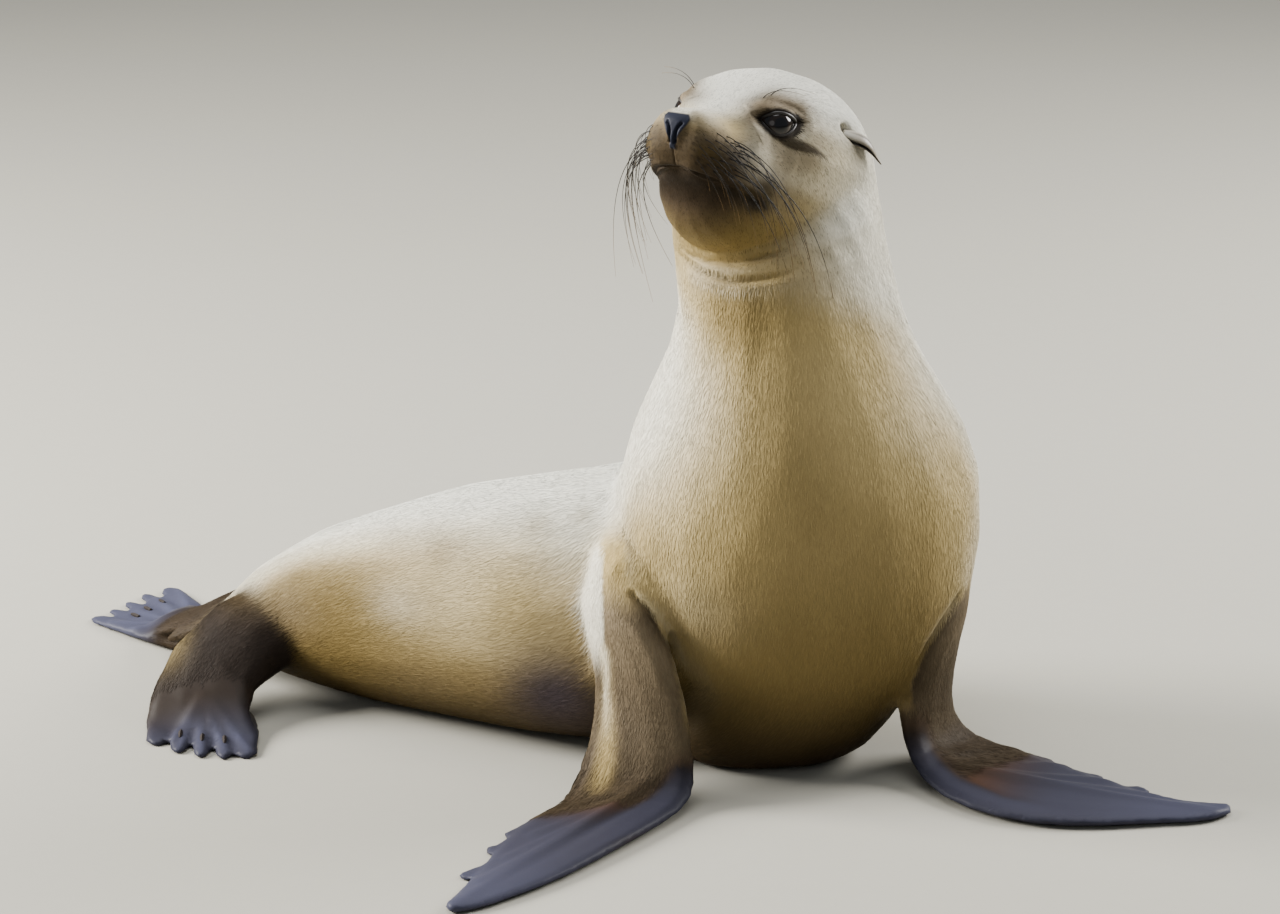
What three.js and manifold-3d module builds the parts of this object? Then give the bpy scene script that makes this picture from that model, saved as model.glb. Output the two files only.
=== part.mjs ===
// A young sea lion sitting up on its foreflippers, head raised and turned to its right, hindquarters swung
// round to its right with the hind flippers turned out. Life size, in millimetres, +Z up.
//
// The body is modelled whole, as closed lofts joined into one piece of flesh, and is then parted by thin cuts
// into the parts that a person would name. It rests on small flats, all on the floor at Z = 0.
import * as THREE from "three";
import { mergeVertices } from "three/addons/utils/BufferGeometryUtils.js";
import Module from "manifold-3d";

const wasm = await Module();
wasm.setup();

// ---------------------------------------------------------------- driving dimensions

const CUT = 0.3; // width of the cut between two parts
const FAR = 2000; // larger than the animal, for cutting tools
const FINENESS = 0.12; // how far a face may stray from the surface it is made from, well within the cut

// How finely each form is faceted: rings along it, and sides round it.
const FACETS = {
  head: [25, 20],
  forebody: [25, 22],
  trunk: [18, 20],
  tail: [7, 8],
  arm: [21, 10],
  leg: [7, 10],
  toe: [6, 6],
  web: [5, 8],
  nail: [4, 6],
  ear: [7, 8],
  nose: [6, 10],
  eye: [12, 9],
};
const DOWN = new THREE.Vector3(0, 0, -1);

// The head's own frame: its origin is the middle of the nose leather, +a runs forward, +b to the animal's left
// and +c to the crown.
const NOSE_AT = new THREE.Vector3(31, -10, 577);
const HEAD_YAW = THREE.MathUtils.degToRad(33.5); // from straight ahead (-Y) towards the animal's right (-X)
const HEAD_PITCH = THREE.MathUtils.degToRad(18); // muzzle raised above level

const EYE_RADIUS = 18;
const EYE_CENTRE = [-86.5, 38, 15.5]; // left eye, in the head's frame
const EYE_TURN = THREE.MathUtils.degToRad(52); // pupil's direction, out from straight ahead

const NAIL_LENGTH = 13;
const NAIL_PLACE = 0.54; // share of the way from the root of the toe to its tip

// ---------------------------------------------------------------- lofts

// A smooth run of values through evenly spaced stations, one Catmull-Rom curve for every three numbers.
function smoothly(rows) {
  const curve = new THREE.CatmullRomCurve3(rows.map((r) => new THREE.Vector3(...r)), false, "catmullrom", 0.5);
  return (t) => curve.getPoint(Math.min(1, Math.max(0, t)));
}

// A closed body through ribs. A rib runs from `from` to `to`, two points of the outline that lie opposite each
// other, and is `half` wide to each side. `level` moves the widest place from the middle (0) towards `from` (1)
// or `to` (-1), and `full` over 1 makes the section squarer than an ellipse. The sections stand square to the
// line through the ribs' middles, or to an `axis` of their own.
function loft(ribs, [rings, sides], { sculpt = (p) => p, axis } = {}) {
  const from = smoothly(ribs.map((r) => r.from));
  const to = smoothly(ribs.map((r) => r.to));
  const size = smoothly(ribs.map((r) => [r.half, r.level ?? 0, r.full ?? 1]));
  const middle = (t) => from(t).add(to(t)).multiplyScalar(0.5);
  const vertices = [];
  const triangles = [];
  const step = 0.5 / (rings - 1);
  for (let i = 0; i < rings; i++) {
    const t = i / (rings - 1);
    const along = axis ?? middle(Math.min(1, t + step)).sub(middle(Math.max(0, t - step)));
    const half = from(t).sub(to(t)).multiplyScalar(0.5);
    const out = half.clone().cross(along).normalize();
    const { x: width, y: level, z: full } = size(t);
    for (let k = 0; k < sides; k++) {
      const angle = (2 * Math.PI * k) / sides;
      const c = Math.sign(Math.cos(angle)) * Math.abs(Math.cos(angle)) ** (1 / full);
      const s = Math.sign(Math.sin(angle)) * Math.abs(Math.sin(angle)) ** (1 / full);
      const place = level + c * (c > 0 ? 1 - level : 1 + level);
      const p = middle(t).addScaledVector(half, place).addScaledVector(out, width * s);
      vertices.push(...sculpt(p).toArray());
    }
  }
  const ring = (i, k) => i * sides + (k % sides);
  for (let i = 0; i + 1 < rings; i++)
    for (let k = 0; k < sides; k++) {
      triangles.push(ring(i, k), ring(i + 1, k), ring(i + 1, k + 1));
      triangles.push(ring(i, k), ring(i + 1, k + 1), ring(i, k + 1));
    }
  for (const end of [0, rings - 1]) {
    const centre = vertices.length / 3;
    const sum = new THREE.Vector3();
    for (let k = 0; k < sides; k++) sum.add(new THREE.Vector3().fromArray(vertices, 3 * ring(end, k)));
    vertices.push(...sum.divideScalar(sides).toArray());
    for (let k = 0; k < sides; k++)
      triangles.push(centre, ring(end, end ? k + 1 : k), ring(end, end ? k : k + 1));
  }
  return solid(vertices, triangles);
}

// The ribs of a loft made larger all round and longer at both ends, for the pocket that the loft is set into.
function swollen(ribs, grown) {
  const middle = (rib) => new THREE.Vector3(...rib.from).add(new THREE.Vector3(...rib.to)).multiplyScalar(0.5);
  const last = ribs.length - 1;
  return ribs.map((rib, i) => {
    const from = new THREE.Vector3(...rib.from);
    const to = new THREE.Vector3(...rib.to);
    const outward = from.clone().sub(to).setLength(grown);
    const onward = new THREE.Vector3();
    if (i === 0) onward.subVectors(middle(ribs[0]), middle(ribs[1])).setLength(grown);
    if (i === last) onward.subVectors(middle(ribs[last]), middle(ribs[last - 1])).setLength(grown);
    return {
      ...rib,
      from: from.add(outward).add(onward).toArray(),
      to: to.sub(outward).add(onward).toArray(),
      half: rib.half + grown,
    };
  });
}

// A manifold-3d solid from plain lists, turned the right way out.
function solid(vertices, triangles) {
  const vertProperties = new Float32Array(vertices);
  const make = (corners) =>
    new wasm.Manifold(new wasm.Mesh({ numProp: 3, vertProperties, triVerts: new Uint32Array(corners) }));
  const made = make(triangles);
  return made.volume() > 0 ? made : make(triangles.reverse());
}

// A manifold-3d solid from a three.js geometry, moved by a matrix.
function solidFrom(geometry, matrix = new THREE.Matrix4()) {
  const bare = geometry.clone().applyMatrix4(matrix);
  bare.deleteAttribute("normal");
  bare.deleteAttribute("uv");
  const merged = mergeVertices(bare, 1e-4);
  return solid(Array.from(merged.attributes.position.array), Array.from(merged.index.array));
}

// Everything on the side of a plane that its normal points to.
function beyond(point, normal) {
  const turn = new THREE.Quaternion().setFromUnitVectors(
    new THREE.Vector3(0, 0, 1),
    new THREE.Vector3(...normal).normalize(),
  );
  const box = new THREE.BoxGeometry(FAR, FAR, FAR).translate(0, 0, FAR / 2);
  const at = new THREE.Matrix4().compose(new THREE.Vector3(...point), turn, new THREE.Vector3(1, 1, 1));
  return solidFrom(box, at);
}

// ---------------------------------------------------------------- head

const HEAD = new THREE.Matrix4()
  .makeTranslation(NOSE_AT.x, NOSE_AT.y, NOSE_AT.z)
  .multiply(new THREE.Matrix4().makeRotationZ(-Math.PI / 2 - HEAD_YAW))
  .multiply(new THREE.Matrix4().makeRotationY(-HEAD_PITCH));

const inHead = (p) => new THREE.Vector3(...p).applyMatrix4(HEAD);
const turnInHead = (d) => new THREE.Vector3(...d).transformDirection(HEAD);

// Stations from the nose to inside the neck: distance behind the nose, height of the top, height of the
// underside, half width, height of the widest place as a share, and fullness.
const HEAD_STATIONS = [
  [-3, -4, -18, 9, 0.1, 1.2],
  [0, 9, -38, 21, 0.1, 1.25],
  [10, 14.5, -53, 30, 0, 1.2],
  [25, 16.5, -65, 36, 0, 1.15],
  [42, 19, -77, 41, 0.05, 1.15],
  [58, 28, -87, 50, 0.5, 1.35],
  [74, 43, -94, 58, 0.5, 1.3],
  [92, 55, -99, 66, 0.3, 1.15],
  [112, 62, -103, 75, 0.15, 1.05],
  [134, 66, -106, 83, 0.1, 1.0],
  [157, 66, -108, 88, 0.1, 1.0],
  [180, 63, -106, 89, 0.1, 1.0],
  [203, 47, -98, 84, 0.05, 1.0],
  [224, 18, -80, 58, 0, 1.0],
];

// Soft swellings and hollows of the head, in its frame: place, reach and how far the surface moves. Each is
// mirrored to the other side.
const HEAD_FORMS = [
  { at: [-18, 30, -16], reach: 20, move: [1, 4.5, 0] }, // whisker pad
  { at: [-34, 38, -24], reach: 20, move: [0, 3, -1] }, // back of the whisker pad
  { at: [-6, 11, 4], reach: 11, move: [2.5, 1, 1] }, // wing of the nose
  { at: [-48, 26, 14], reach: 18, move: [0, -3, -2] }, // hollow before the eye
  { at: [-66, 45, 32], reach: 15, move: [2, 6, 1] }, // brow
  { at: [-79, 54, 16], reach: 20, move: [-1, -16, 0] }, // eye socket
  { at: [-98, 64, -8], reach: 26, move: [0, 4, 0] }, // cheekbone
  { at: [-10, 14, -52], reach: 18, move: [-7, -2, 2] }, // chin set back under the lip
  { at: [-60, 44, -50], reach: 20, move: [0, 3, 0] }, // corner of the mouth
  { at: [-14, 30, -54], reach: 18, move: [-1, -10, 0] }, // lower jaw, narrower than the lips above it
];

function headForms(p) {
  const moved = p.clone();
  for (const { at, reach, move } of HEAD_FORMS)
    for (const side of [1, -1]) {
      const centre = new THREE.Vector3(at[0], at[1] * side, at[2]);
      const share = Math.exp(-p.distanceToSquared(centre) / reach ** 2);
      moved.add(new THREE.Vector3(move[0], move[1] * side, move[2]).multiplyScalar(share));
    }
  return moved;
}

function head() {
  const ribs = HEAD_STATIONS.map(([behind, top, under, half, level, full]) => ({
    from: [-behind, 0, top],
    to: [-behind, 0, under],
    half,
    level,
    full,
  }));
  return loft(ribs, FACETS.head, { sculpt: (p) => headForms(p).applyMatrix4(HEAD) });
}

// A rolled, pointed ear that lies back along the side of the head, with its root set into the head.
function ear(side, grown = 0) {
  const ribs = [
    { at: [-142, 66, 22], tall: 5, half: 5 },
    { at: [-150, 78, 20.5], tall: 7, half: 5 },
    { at: [-159, 86, 17], tall: 7, half: 4.2 },
    { at: [-168, 90.5, 12], tall: 5.6, half: 3.5 },
    { at: [-175, 93, 7.5], tall: 3.6, half: 2.5 },
    { at: [-179, 94, 4.5], tall: 1.5, half: 1.2 },
  ].map(({ at: [a, b, c], tall, half }) => ({
    from: inHead([a + tall * 0.3, b * side, c + tall]).toArray(),
    to: inHead([a - tall * 0.3, b * side, c - tall]).toArray(),
    half,
  }));
  return loft(swollen(ribs, grown), FACETS.ear);
}

// The leather of the nose, wide at the top and narrow between the nostrils.
function nose(grown = 0) {
  const ribs = [
    { behind: 16, top: 9, under: -18, half: 11 },
    { behind: 4, top: 11, under: -19, half: 12.5 },
    { behind: -2, top: 9, under: -19, half: 12 },
    { behind: -6, top: 3, under: -16, half: 8 },
  ].map(({ behind, top, under, half }) => ({
    from: inHead([-behind, 0, top]).toArray(),
    to: inHead([-behind, 0, under]).toArray(),
    half,
    level: 0.45,
  }));
  return loft(swollen(ribs, grown), FACETS.nose);
}

function eyeball(side, grown = 0) {
  const [a, b, c] = EYE_CENTRE;
  const at = HEAD.clone()
    .multiply(new THREE.Matrix4().makeTranslation(a, b * side, c))
    .multiply(new THREE.Matrix4().makeRotationZ(side * EYE_TURN - Math.PI / 2));
  return solidFrom(new THREE.SphereGeometry(EYE_RADIUS + grown, ...FACETS.eye), at);
}

// ---------------------------------------------------------------- neck and trunk

// The upright forebody, from inside the head down to the floor. A rib runs from the back to the throat, the
// chest or the breast.
const FOREBODY_RIBS = [
  { from: [148, 150, 545], to: [84, 70, 500], half: 68 },
  { from: [147, 170, 517], to: [81, 34, 468], half: 90 },
  { from: [142, 184, 474], to: [95, 6, 438], half: 92 },
  { from: [134, 194, 428], to: [116, -9, 404], half: 95 },
  { from: [124, 204, 385], to: [140, -24, 364], half: 102 },
  { from: [115, 214, 345], to: [156, -36, 326], half: 120 },
  { from: [110, 222, 305], to: [167, -45, 290], half: 141 },
  { from: [107, 228, 266], to: [172, -51, 252], half: 156 },
  { from: [104, 230, 226], to: [172, -53, 214], half: 163 },
  { from: [104, 226, 186], to: [170, -53, 178], half: 163 },
  { from: [108, 216, 148], to: [168, -50, 142], half: 153 },
  { from: [114, 204, 110], to: [164, -43, 104], half: 134 },
  { from: [118, 192, 74], to: [158, -33, 70], half: 112 },
  { from: [107, 180, 38], to: [133, -25, 35], half: 106, full: 1.12 },
  { from: [100, 168, 8], to: [118, -10, 6], half: 90, full: 1.2 },
  { from: [96, 148, -14], to: [104, 12, -14], half: 62, full: 1.1 },
];

const forebody = () => loft(FOREBODY_RIBS, FACETS.forebody, { axis: DOWN });

// The trunk, from inside the chest to the rump, with its underside spread a little on the floor. A rib runs
// from the back to the belly.
const TRUNK_RIBS = [
  { from: [122, 172, 314], to: [104, 116, 8], half: 60 },
  { from: [88, 168, 284], to: [82, 117, -6], half: 98 },
  { from: [44, 160, 254], to: [46, 120, -8], half: 119, level: -0.1, full: 1.1 },
  { from: [0, 152, 236], to: [6, 126, -9], half: 123, level: -0.36, full: 1.28 },
  { from: [-54, 154, 225], to: [-50, 130, -9], half: 117, level: -0.38, full: 1.28 },
  { from: [-108, 164, 216], to: [-96, 138, -9], half: 110, level: -0.25, full: 1.2 },
  { from: [-168, 180, 201], to: [-152, 156, -8], half: 98, level: -0.15, full: 1.12 },
  { from: [-234, 202, 174], to: [-218, 180, -6], half: 85, level: -0.1, full: 1.05 },
  { from: [-298, 224, 144], to: [-284, 206, 0], half: 69 },
  { from: [-350, 240, 106], to: [-340, 230, 11], half: 51 },
  { from: [-388, 252, 64], to: [-382, 248, 22], half: 29 },
  { from: [-408, 259, 47], to: [-406, 258, 34], half: 12 },
];

const trunk = () => loft(TRUNK_RIBS, FACETS.trunk);

// The short tail, between the ankles.
function tail() {
  return loft(
    [
      { from: [-380, 246, 62], to: [-384, 242, 30], half: 14 },
      { from: [-408, 256, 46], to: [-410, 254, 24], half: 12 },
      { from: [-430, 266, 33], to: [-431, 265, 17], half: 8.5 },
      { from: [-446, 273, 24], to: [-446, 273, 14], half: 4 },
    ],
    FACETS.tail,
  );
}

// ---------------------------------------------------------------- foreflippers

// Each rib runs from the leading edge to the trailing edge, and its half is half the thickness.
const FORELIMB = {
  right: [
    { from: [52, 66, 212], to: [30, 122, 218], half: 24 },
    { from: [18, 4, 186], to: [-20, 84, 196], half: 35 },
    { from: [16, -32, 140], to: [-44, 54, 148], half: 29 },
    { from: [34, -47, 100], to: [-41, 26, 102], half: 21 },
    { from: [44, -55, 66], to: [-40, -2, 66], half: 17 },
    { from: [47, -65, 37], to: [-48, -34, 35], half: 14 },
    { from: [46, -77, 16], to: [-58, -60, 16], half: 12 },
    { from: [36, -98, 8], to: [-70, -84, 7], half: 10, level: 0.2 },
    { from: [16, -129, 7], to: [-90, -106, 5], half: 9, level: 0.3 },
    { from: [-10, -164, 6.5], to: [-106, -132, 4], half: 8, level: 0.35 },
    { from: [-38, -200, 6], to: [-118, -160, 3.5], half: 7.2, level: 0.35 },
    { from: [-68, -234, 5.5], to: [-126, -190, 3.5], half: 6.4, level: 0.3 },
    { from: [-98, -261, 5], to: [-135, -222, 3.5], half: 5.6, level: 0.2 },
    { from: [-127, -284, 4.5], to: [-146, -254, 3.5], half: 4.8 },
    { from: [-149, -290, 4], to: [-155, -279, 3.5], half: 3.5 },
  ],
  left: [
    { from: [204, 66, 208], to: [214, 122, 214], half: 24 },
    { from: [238, 16, 178], to: [260, 96, 188], half: 32 },
    { from: [240, 6, 134], to: [278, 74, 144], half: 26 },
    { from: [228, 0, 94], to: [275, 60, 100], half: 19 },
    { from: [226, -6, 60], to: [271, 56, 62], half: 16 },
    { from: [229, -14, 34], to: [276, 56, 34], half: 13.5 },
    { from: [238, -34, 15], to: [291, 56, 15], half: 12 },
    { from: [256, -68, 8], to: [314, 50, 7], half: 10, level: 0.2 },
    { from: [286, -101, 7], to: [340, 34, 5], half: 9, level: 0.3 },
    { from: [324, -121, 6.5], to: [364, 12, 4], half: 8, level: 0.35 },
    { from: [366, -127, 6], to: [392, -14, 3.5], half: 7.2, level: 0.35 },
    { from: [408, -122, 5.5], to: [420, -44, 3.5], half: 6.4, level: 0.3 },
    { from: [444, -117, 5], to: [450, -68, 3.5], half: 5.6, level: 0.2 },
    { from: [476, -113, 4.5], to: [480, -76, 3.5], half: 4.8 },
    { from: [498, -97, 4], to: [500, -80, 3.5], half: 3.5 },
  ],
};

// The trailing edge steps back from finger to finger, in three flat lobes behind the long first finger.
const LOBES = {
  right: [
    { root: [-94, -196], tip: [-146, -222], half: 13 },
    { root: [-82, -156], tip: [-126, -173], half: 14 },
    { root: [-74, -124], tip: [-112, -143], half: 14 },
  ],
  left: [
    { root: [384, -62], tip: [436, -44], half: 15 },
    { root: [350, -32], tip: [401, -17], half: 15 },
    { root: [316, 0], tip: [362, 19], half: 15 },
  ],
};
const LOBE_HEIGHT = 8;
const LOBE_TIP_HEIGHT = 4;

const arm = (side, grown = 0) => loft(swollen(FORELIMB[side], grown), FACETS.arm);
const asDigit = (lobe) => digit({ ...lobe, height: LOBE_HEIGHT, end: LOBE_TIP_HEIGHT });
const lobes = (side) => LOBES[side].map(asDigit);
const forelimb = (side) => lobes(side).reduce((all, one) => all.add(one), arm(side));

const WRIST = {
  right: [[0, -60, 24], [-0.2, -0.75, -0.63]],
  left: [[262, 0, 22], [0.45, -0.4, -0.8]],
};

// ---------------------------------------------------------------- hind flippers

// The leg from the rump to the ankle and thinning over the roots of the toes, each rib from its outer to its
// inner edge.
const LEG = {
  right: [
    { from: [-340, 226, 92], to: [-284, 178, 54], half: 36 },
    { from: [-384, 216, 76], to: [-318, 152, 42], half: 31 },
    { from: [-419, 188, 54], to: [-342, 128, 31], half: 22 },
    { from: [-437, 156, 34], to: [-348, 105, 23], half: 14 },
    { from: [-442, 126, 20], to: [-345, 86, 15], half: 10 },
    { from: [-443, 113, 13.5], to: [-342, 76, 11.5], half: 8.6 },
    { from: [-443, 101, 8.8], to: [-339, 65, 8], half: 6.6 },
    { from: [-442, 91, 5.8], to: [-338, 56, 5.5], half: 4.5 },
  ],
  left: [
    { from: [-352, 232, 72], to: [-326, 280, 50], half: 30 },
    { from: [-394, 248, 52], to: [-362, 306, 38], half: 21 },
    { from: [-426, 266, 34], to: [-392, 336, 26], half: 14 },
    { from: [-448, 284, 21], to: [-414, 358, 17], half: 10.5 },
    { from: [-459, 301, 14], to: [-430, 372, 12], half: 8.5 },
    { from: [-466, 306, 10.8], to: [-434, 380, 9.8], half: 7.2 },
    { from: [-474, 311, 7.6], to: [-437, 388, 7.2], half: 5.8 },
    { from: [-482, 317, 5.6], to: [-440, 396, 5.4], half: 4.4 },
  ],
};
const leg = (side, grown = 0) => loft(swollen(LEG[side], grown), FACETS.leg);

// Five toes fan out from the ankle, the outer two the broadest. Each has its root, its tip and its half width.
const TOES = {
  right: [
    { root: [-429, 122], tip: [-427, 56], half: 14 },
    { root: [-409, 112], tip: [-406, 38], half: 10 },
    { root: [-390, 104], tip: [-385, 28], half: 9.5 },
    { root: [-371, 98], tip: [-364, 25], half: 10 },
    { root: [-354, 92], tip: [-345, 27], half: 13.5 },
  ],
  left: [
    { root: [-448, 305], tip: [-530, 376], half: 14 },
    { root: [-445, 319], tip: [-516, 396], half: 9.5 },
    { root: [-439, 333], tip: [-504, 417], half: 9.5 },
    { root: [-432, 348], tip: [-490, 440], half: 10 },
    { root: [-422, 362], tip: [-469, 458], half: 13 },
  ],
};
const ANKLE = {
  right: [[-394, 122, 20], [0, -1, -0.1]],
  left: [[-440, 318, 15], [-0.66, 0.75, -0.1]],
};
const MIDDLE_TOES = [1, 2, 3];
const TOE_HEIGHT = 13;
const TOE_TIP_HEIGHT = 5;
const MIDDLE_LINE = 0.45; // height of a toe's middle line, as a share of its thickness
const HALF_THICK = 0.55;

// A finger or toe that lies on the floor and thins towards its tip. Its middle line is a little below half its
// thickness, so that it bears on a small flat.
function digit({ root, tip, half, height = TOE_HEIGHT, end = TOE_TIP_HEIGHT }) {
  const across = new THREE.Vector2(tip[1] - root[1], root[0] - tip[0]).normalize();
  const rib = (share, width, tall) => {
    const x = THREE.MathUtils.lerp(root[0], tip[0], share);
    const y = THREE.MathUtils.lerp(root[1], tip[1], share);
    return {
      from: [x + across.x * width, y + across.y * width, tall * MIDDLE_LINE],
      to: [x - across.x * width, y - across.y * width, tall * MIDDLE_LINE],
      half: tall * HALF_THICK,
    };
  };
  const ribs = [
    rib(-0.35, half * 0.8, height),
    rib(0, half, height),
    rib(0.35, half * 1.02, height * 0.85),
    rib(0.7, half * 0.95, height * 0.6),
    rib(0.93, half * 0.75, end),
    rib(1, half * 0.35, end * 0.7),
  ];
  return loft(ribs, FACETS.toe);
}

// The web that joins the toes, a little thinner than they are.
function web(side) {
  const toes = TOES[side];
  const [first, last] = [toes[0], toes[toes.length - 1]];
  const at = (share) => (end) => [
    THREE.MathUtils.lerp(end.root[0], end.tip[0], share),
    THREE.MathUtils.lerp(end.root[1], end.tip[1], share),
  ];
  const rib = (share, height) => ({
    from: [...at(share)(first), height * MIDDLE_LINE],
    to: [...at(share)(last), height * MIDDLE_LINE],
    half: height * HALF_THICK,
    full: 1.6,
  });
  return loft([rib(-0.4, 14), rib(0, 12.5), rib(0.3, 10), rib(0.6, 7), rib(0.86, 3.5)], FACETS.web);
}

const hindFoot = (side) => TOES[side].map((toe) => digit(toe)).reduce((all, one) => all.add(one), web(side));

// A curved nail on the back of a middle toe, set well behind its tip.
function nail({ root, tip }, grown = 0) {
  const along = new THREE.Vector2(tip[0] - root[0], tip[1] - root[1]).normalize().multiplyScalar(NAIL_LENGTH);
  const x = THREE.MathUtils.lerp(root[0], tip[0], NAIL_PLACE);
  const y = THREE.MathUtils.lerp(root[1], tip[1], NAIL_PLACE);
  const ribs = [
    { share: 0, half: 2.1, low: 4.8, high: 10.6 },
    { share: 0.5, half: 2.2, low: 5.2, high: 10.7 },
    { share: 0.85, half: 1.6, low: 6.0, high: 9.7 },
    { share: 1, half: 0.7, low: 7.0, high: 8.8 },
  ].map(({ share, half, low, high }) => ({
    from: [x + along.x * share, y + along.y * share, high],
    to: [x + along.x * share, y + along.y * share, low],
    half,
  }));
  return loft(swollen(ribs, grown), FACETS.nail);
}

// ---------------------------------------------------------------- parting

const FLOOR = beyond([0, 0, 0], [0, 0, -1]);
const SIDES = { left: 1, right: -1 };
const nodes = new Map();
let flesh = forebody().add(trunk()).add(head()).add(tail()).subtract(FLOOR);

// Sets a piece into the flesh, with a thin gap all round it. What it is set into is cut back, not the piece.
function setIn(name, piece, pocket) {
  nodes.set(name, piece);
  flesh = flesh.subtract(pocket);
}

// Parts a body along a plane: gives what lies beyond it, and what is left on this side of a thin cut.
function split(body, [point, normal]) {
  const n = new THREE.Vector3(...normal).normalize();
  const gap = beyond(new THREE.Vector3(...point).addScaledVector(n, -CUT).toArray(), n.toArray());
  return [body.intersect(beyond(point, n.toArray())), body.subtract(gap)];
}

// Takes a part off a node along a plane.
function partOff(name, plane, whole) {
  const [off, rest] = split(nodes.get(whole), plane);
  nodes.set(name, off);
  nodes.set(whole, rest);
}

const headPlane = (point, normal) => [inHead(point).toArray(), turnInHead(normal).toArray()];

setIn("nose", nose(), nose(CUT));
for (const [name, side] of Object.entries(SIDES)) {
  setIn(`eye_${name}`, eyeball(side), eyeball(side, CUT));
  setIn(`ear_${name}`, ear(side), ear(side, CUT));
}

// Each limb is set into the body and parted at the wrist or the ankle.
for (const name of Object.keys(SIDES)) {
  const [blade, forearm] = split(forelimb(name).subtract(FLOOR), WRIST[name]);
  nodes.set(`foreflipper_${name}`, blade);
  setIn(`forearm_${name}`, forearm, arm(name, CUT));

  const limb = leg(name).add(hindFoot(name)).subtract(FLOOR);
  let [foot, thigh] = split(limb, ANKLE[name]);
  MIDDLE_TOES.forEach((i) => {
    nodes.set(`nail_${name}_${i + 1}`, nail(TOES[name][i]));
    foot = foot.subtract(nail(TOES[name][i], CUT));
  });
  nodes.set(`hind_flipper_${name}`, foot);
  setIn(`leg_${name}`, thigh, leg(name, CUT));
}

nodes.set("chest", flesh);
partOff("neck", [[130, 90, 385], [0, 0.1, 1]], "chest");
partOff("head", headPlane([-85, 0, -98], [0.657, 0, 0.754]), "neck");
partOff("muzzle", headPlane([-56, 0, 0], [0.975, 0, -0.22]), "head");
partOff("lower_jaw", headPlane([-3, 0, -38], [0.17, 0, -0.98]), "muzzle");
partOff("belly", [[-46, 150, 110], [-0.96, 0.26, -0.1]], "chest");
partOff("hindquarters", [[-262, 200, 80], [-0.93, 0.36, 0]], "belly");
partOff("tail", [[-420, 262, 30], [-0.9, 0.4, -0.1]], "hindquarters");

// ---------------------------------------------------------------- the model

const FINISH = {
  coat: { color: 0xb9a077, roughness: 0.75, metalness: 0 },
  dark_coat: { color: 0x5b4536, roughness: 0.7, metalness: 0 },
  hide: { color: 0x3b3842, roughness: 0.5, metalness: 0 },
  eye: { color: 0x14100f, roughness: 0.08, metalness: 0 },
  nail: { color: 0x2a2426, roughness: 0.4, metalness: 0 },
};
const finishOf = (name) => {
  if (name.startsWith("eye")) return FINISH.eye;
  if (name.startsWith("nail")) return FINISH.nail;
  if (name.includes("flipper") || name === "nose") return FINISH.hide;
  if (["muzzle", "lower_jaw"].includes(name) || name.startsWith("forearm")) return FINISH.dark_coat;
  return FINISH.coat;
};

function meshOf(name, made) {
  const { numVert, numProp, vertProperties, triVerts } = made.simplify(FINENESS).getMesh();
  const positions = new Float32Array(numVert * 3);
  for (let i = 0; i < numVert; i++) positions.set(vertProperties.subarray(i * numProp, i * numProp + 3), i * 3);
  const geometry = new THREE.BufferGeometry()
    .setAttribute("position", new THREE.BufferAttribute(positions, 3))
    .setIndex(new THREE.BufferAttribute(triVerts, 1));
  geometry.computeVertexNormals();
  const mesh = new THREE.Mesh(geometry, new THREE.MeshStandardMaterial(finishOf(name)));
  mesh.name = name;
  return mesh;
}

const seaLion = new THREE.Group();
for (const [name, made] of nodes) seaLion.add(meshOf(name, made));

// The origin is on the floor, under the middle of the model's outline.
const middle = new THREE.Box3().setFromObject(seaLion).getCenter(new THREE.Vector3());
seaLion.position.set(-middle.x, -middle.y, 0);

export default seaLion;
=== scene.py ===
"""A young sea lion as a still, life-size model: one skin over the solid frame, a short flat coat that
lies along it, and its eyes, lids, ears, whiskers and nails. All of it is in metres, in the frame's axes."""

import math

import bmesh
import bpy
import numpy as np
from bpy.props import FloatProperty, FloatVectorProperty, IntProperty, PointerProperty
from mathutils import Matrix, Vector
from mathutils.bvhtree import BVHTree


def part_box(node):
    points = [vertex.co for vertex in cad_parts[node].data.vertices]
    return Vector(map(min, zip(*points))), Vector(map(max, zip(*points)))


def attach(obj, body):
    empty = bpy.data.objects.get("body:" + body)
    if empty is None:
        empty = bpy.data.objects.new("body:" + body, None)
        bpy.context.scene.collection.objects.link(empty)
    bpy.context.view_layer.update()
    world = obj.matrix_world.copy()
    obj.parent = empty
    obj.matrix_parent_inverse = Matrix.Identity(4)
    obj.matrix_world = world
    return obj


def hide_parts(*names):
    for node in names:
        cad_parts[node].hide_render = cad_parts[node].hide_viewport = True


bl_info = {
    "name": "Sea Lion",
    "version": (1, 0, 0),
    "blender": (4, 5, 0),
    "location": "View3D > Sidebar > Sea Lion",
    "description": "Skin, coat, eyes, whiskers and studio for a life-size sea lion",
    "category": "Object",
}

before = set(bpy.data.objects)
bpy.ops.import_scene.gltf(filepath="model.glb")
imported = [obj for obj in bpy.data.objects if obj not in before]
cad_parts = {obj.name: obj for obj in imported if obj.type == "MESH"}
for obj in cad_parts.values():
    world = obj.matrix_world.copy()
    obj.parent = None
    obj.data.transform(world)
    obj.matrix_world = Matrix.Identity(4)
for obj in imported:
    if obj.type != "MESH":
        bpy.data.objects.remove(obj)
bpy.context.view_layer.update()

# ---------------------------------------------------------------- the animal's own frames

SIDES = {"left": 1.0, "right": -1.0}
EYES = ["eye_left", "eye_right"]
EARS = ["ear_left", "ear_right"]
NAILS = [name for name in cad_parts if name.startswith("nail")]
FLESH = [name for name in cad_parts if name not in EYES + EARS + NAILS]

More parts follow.
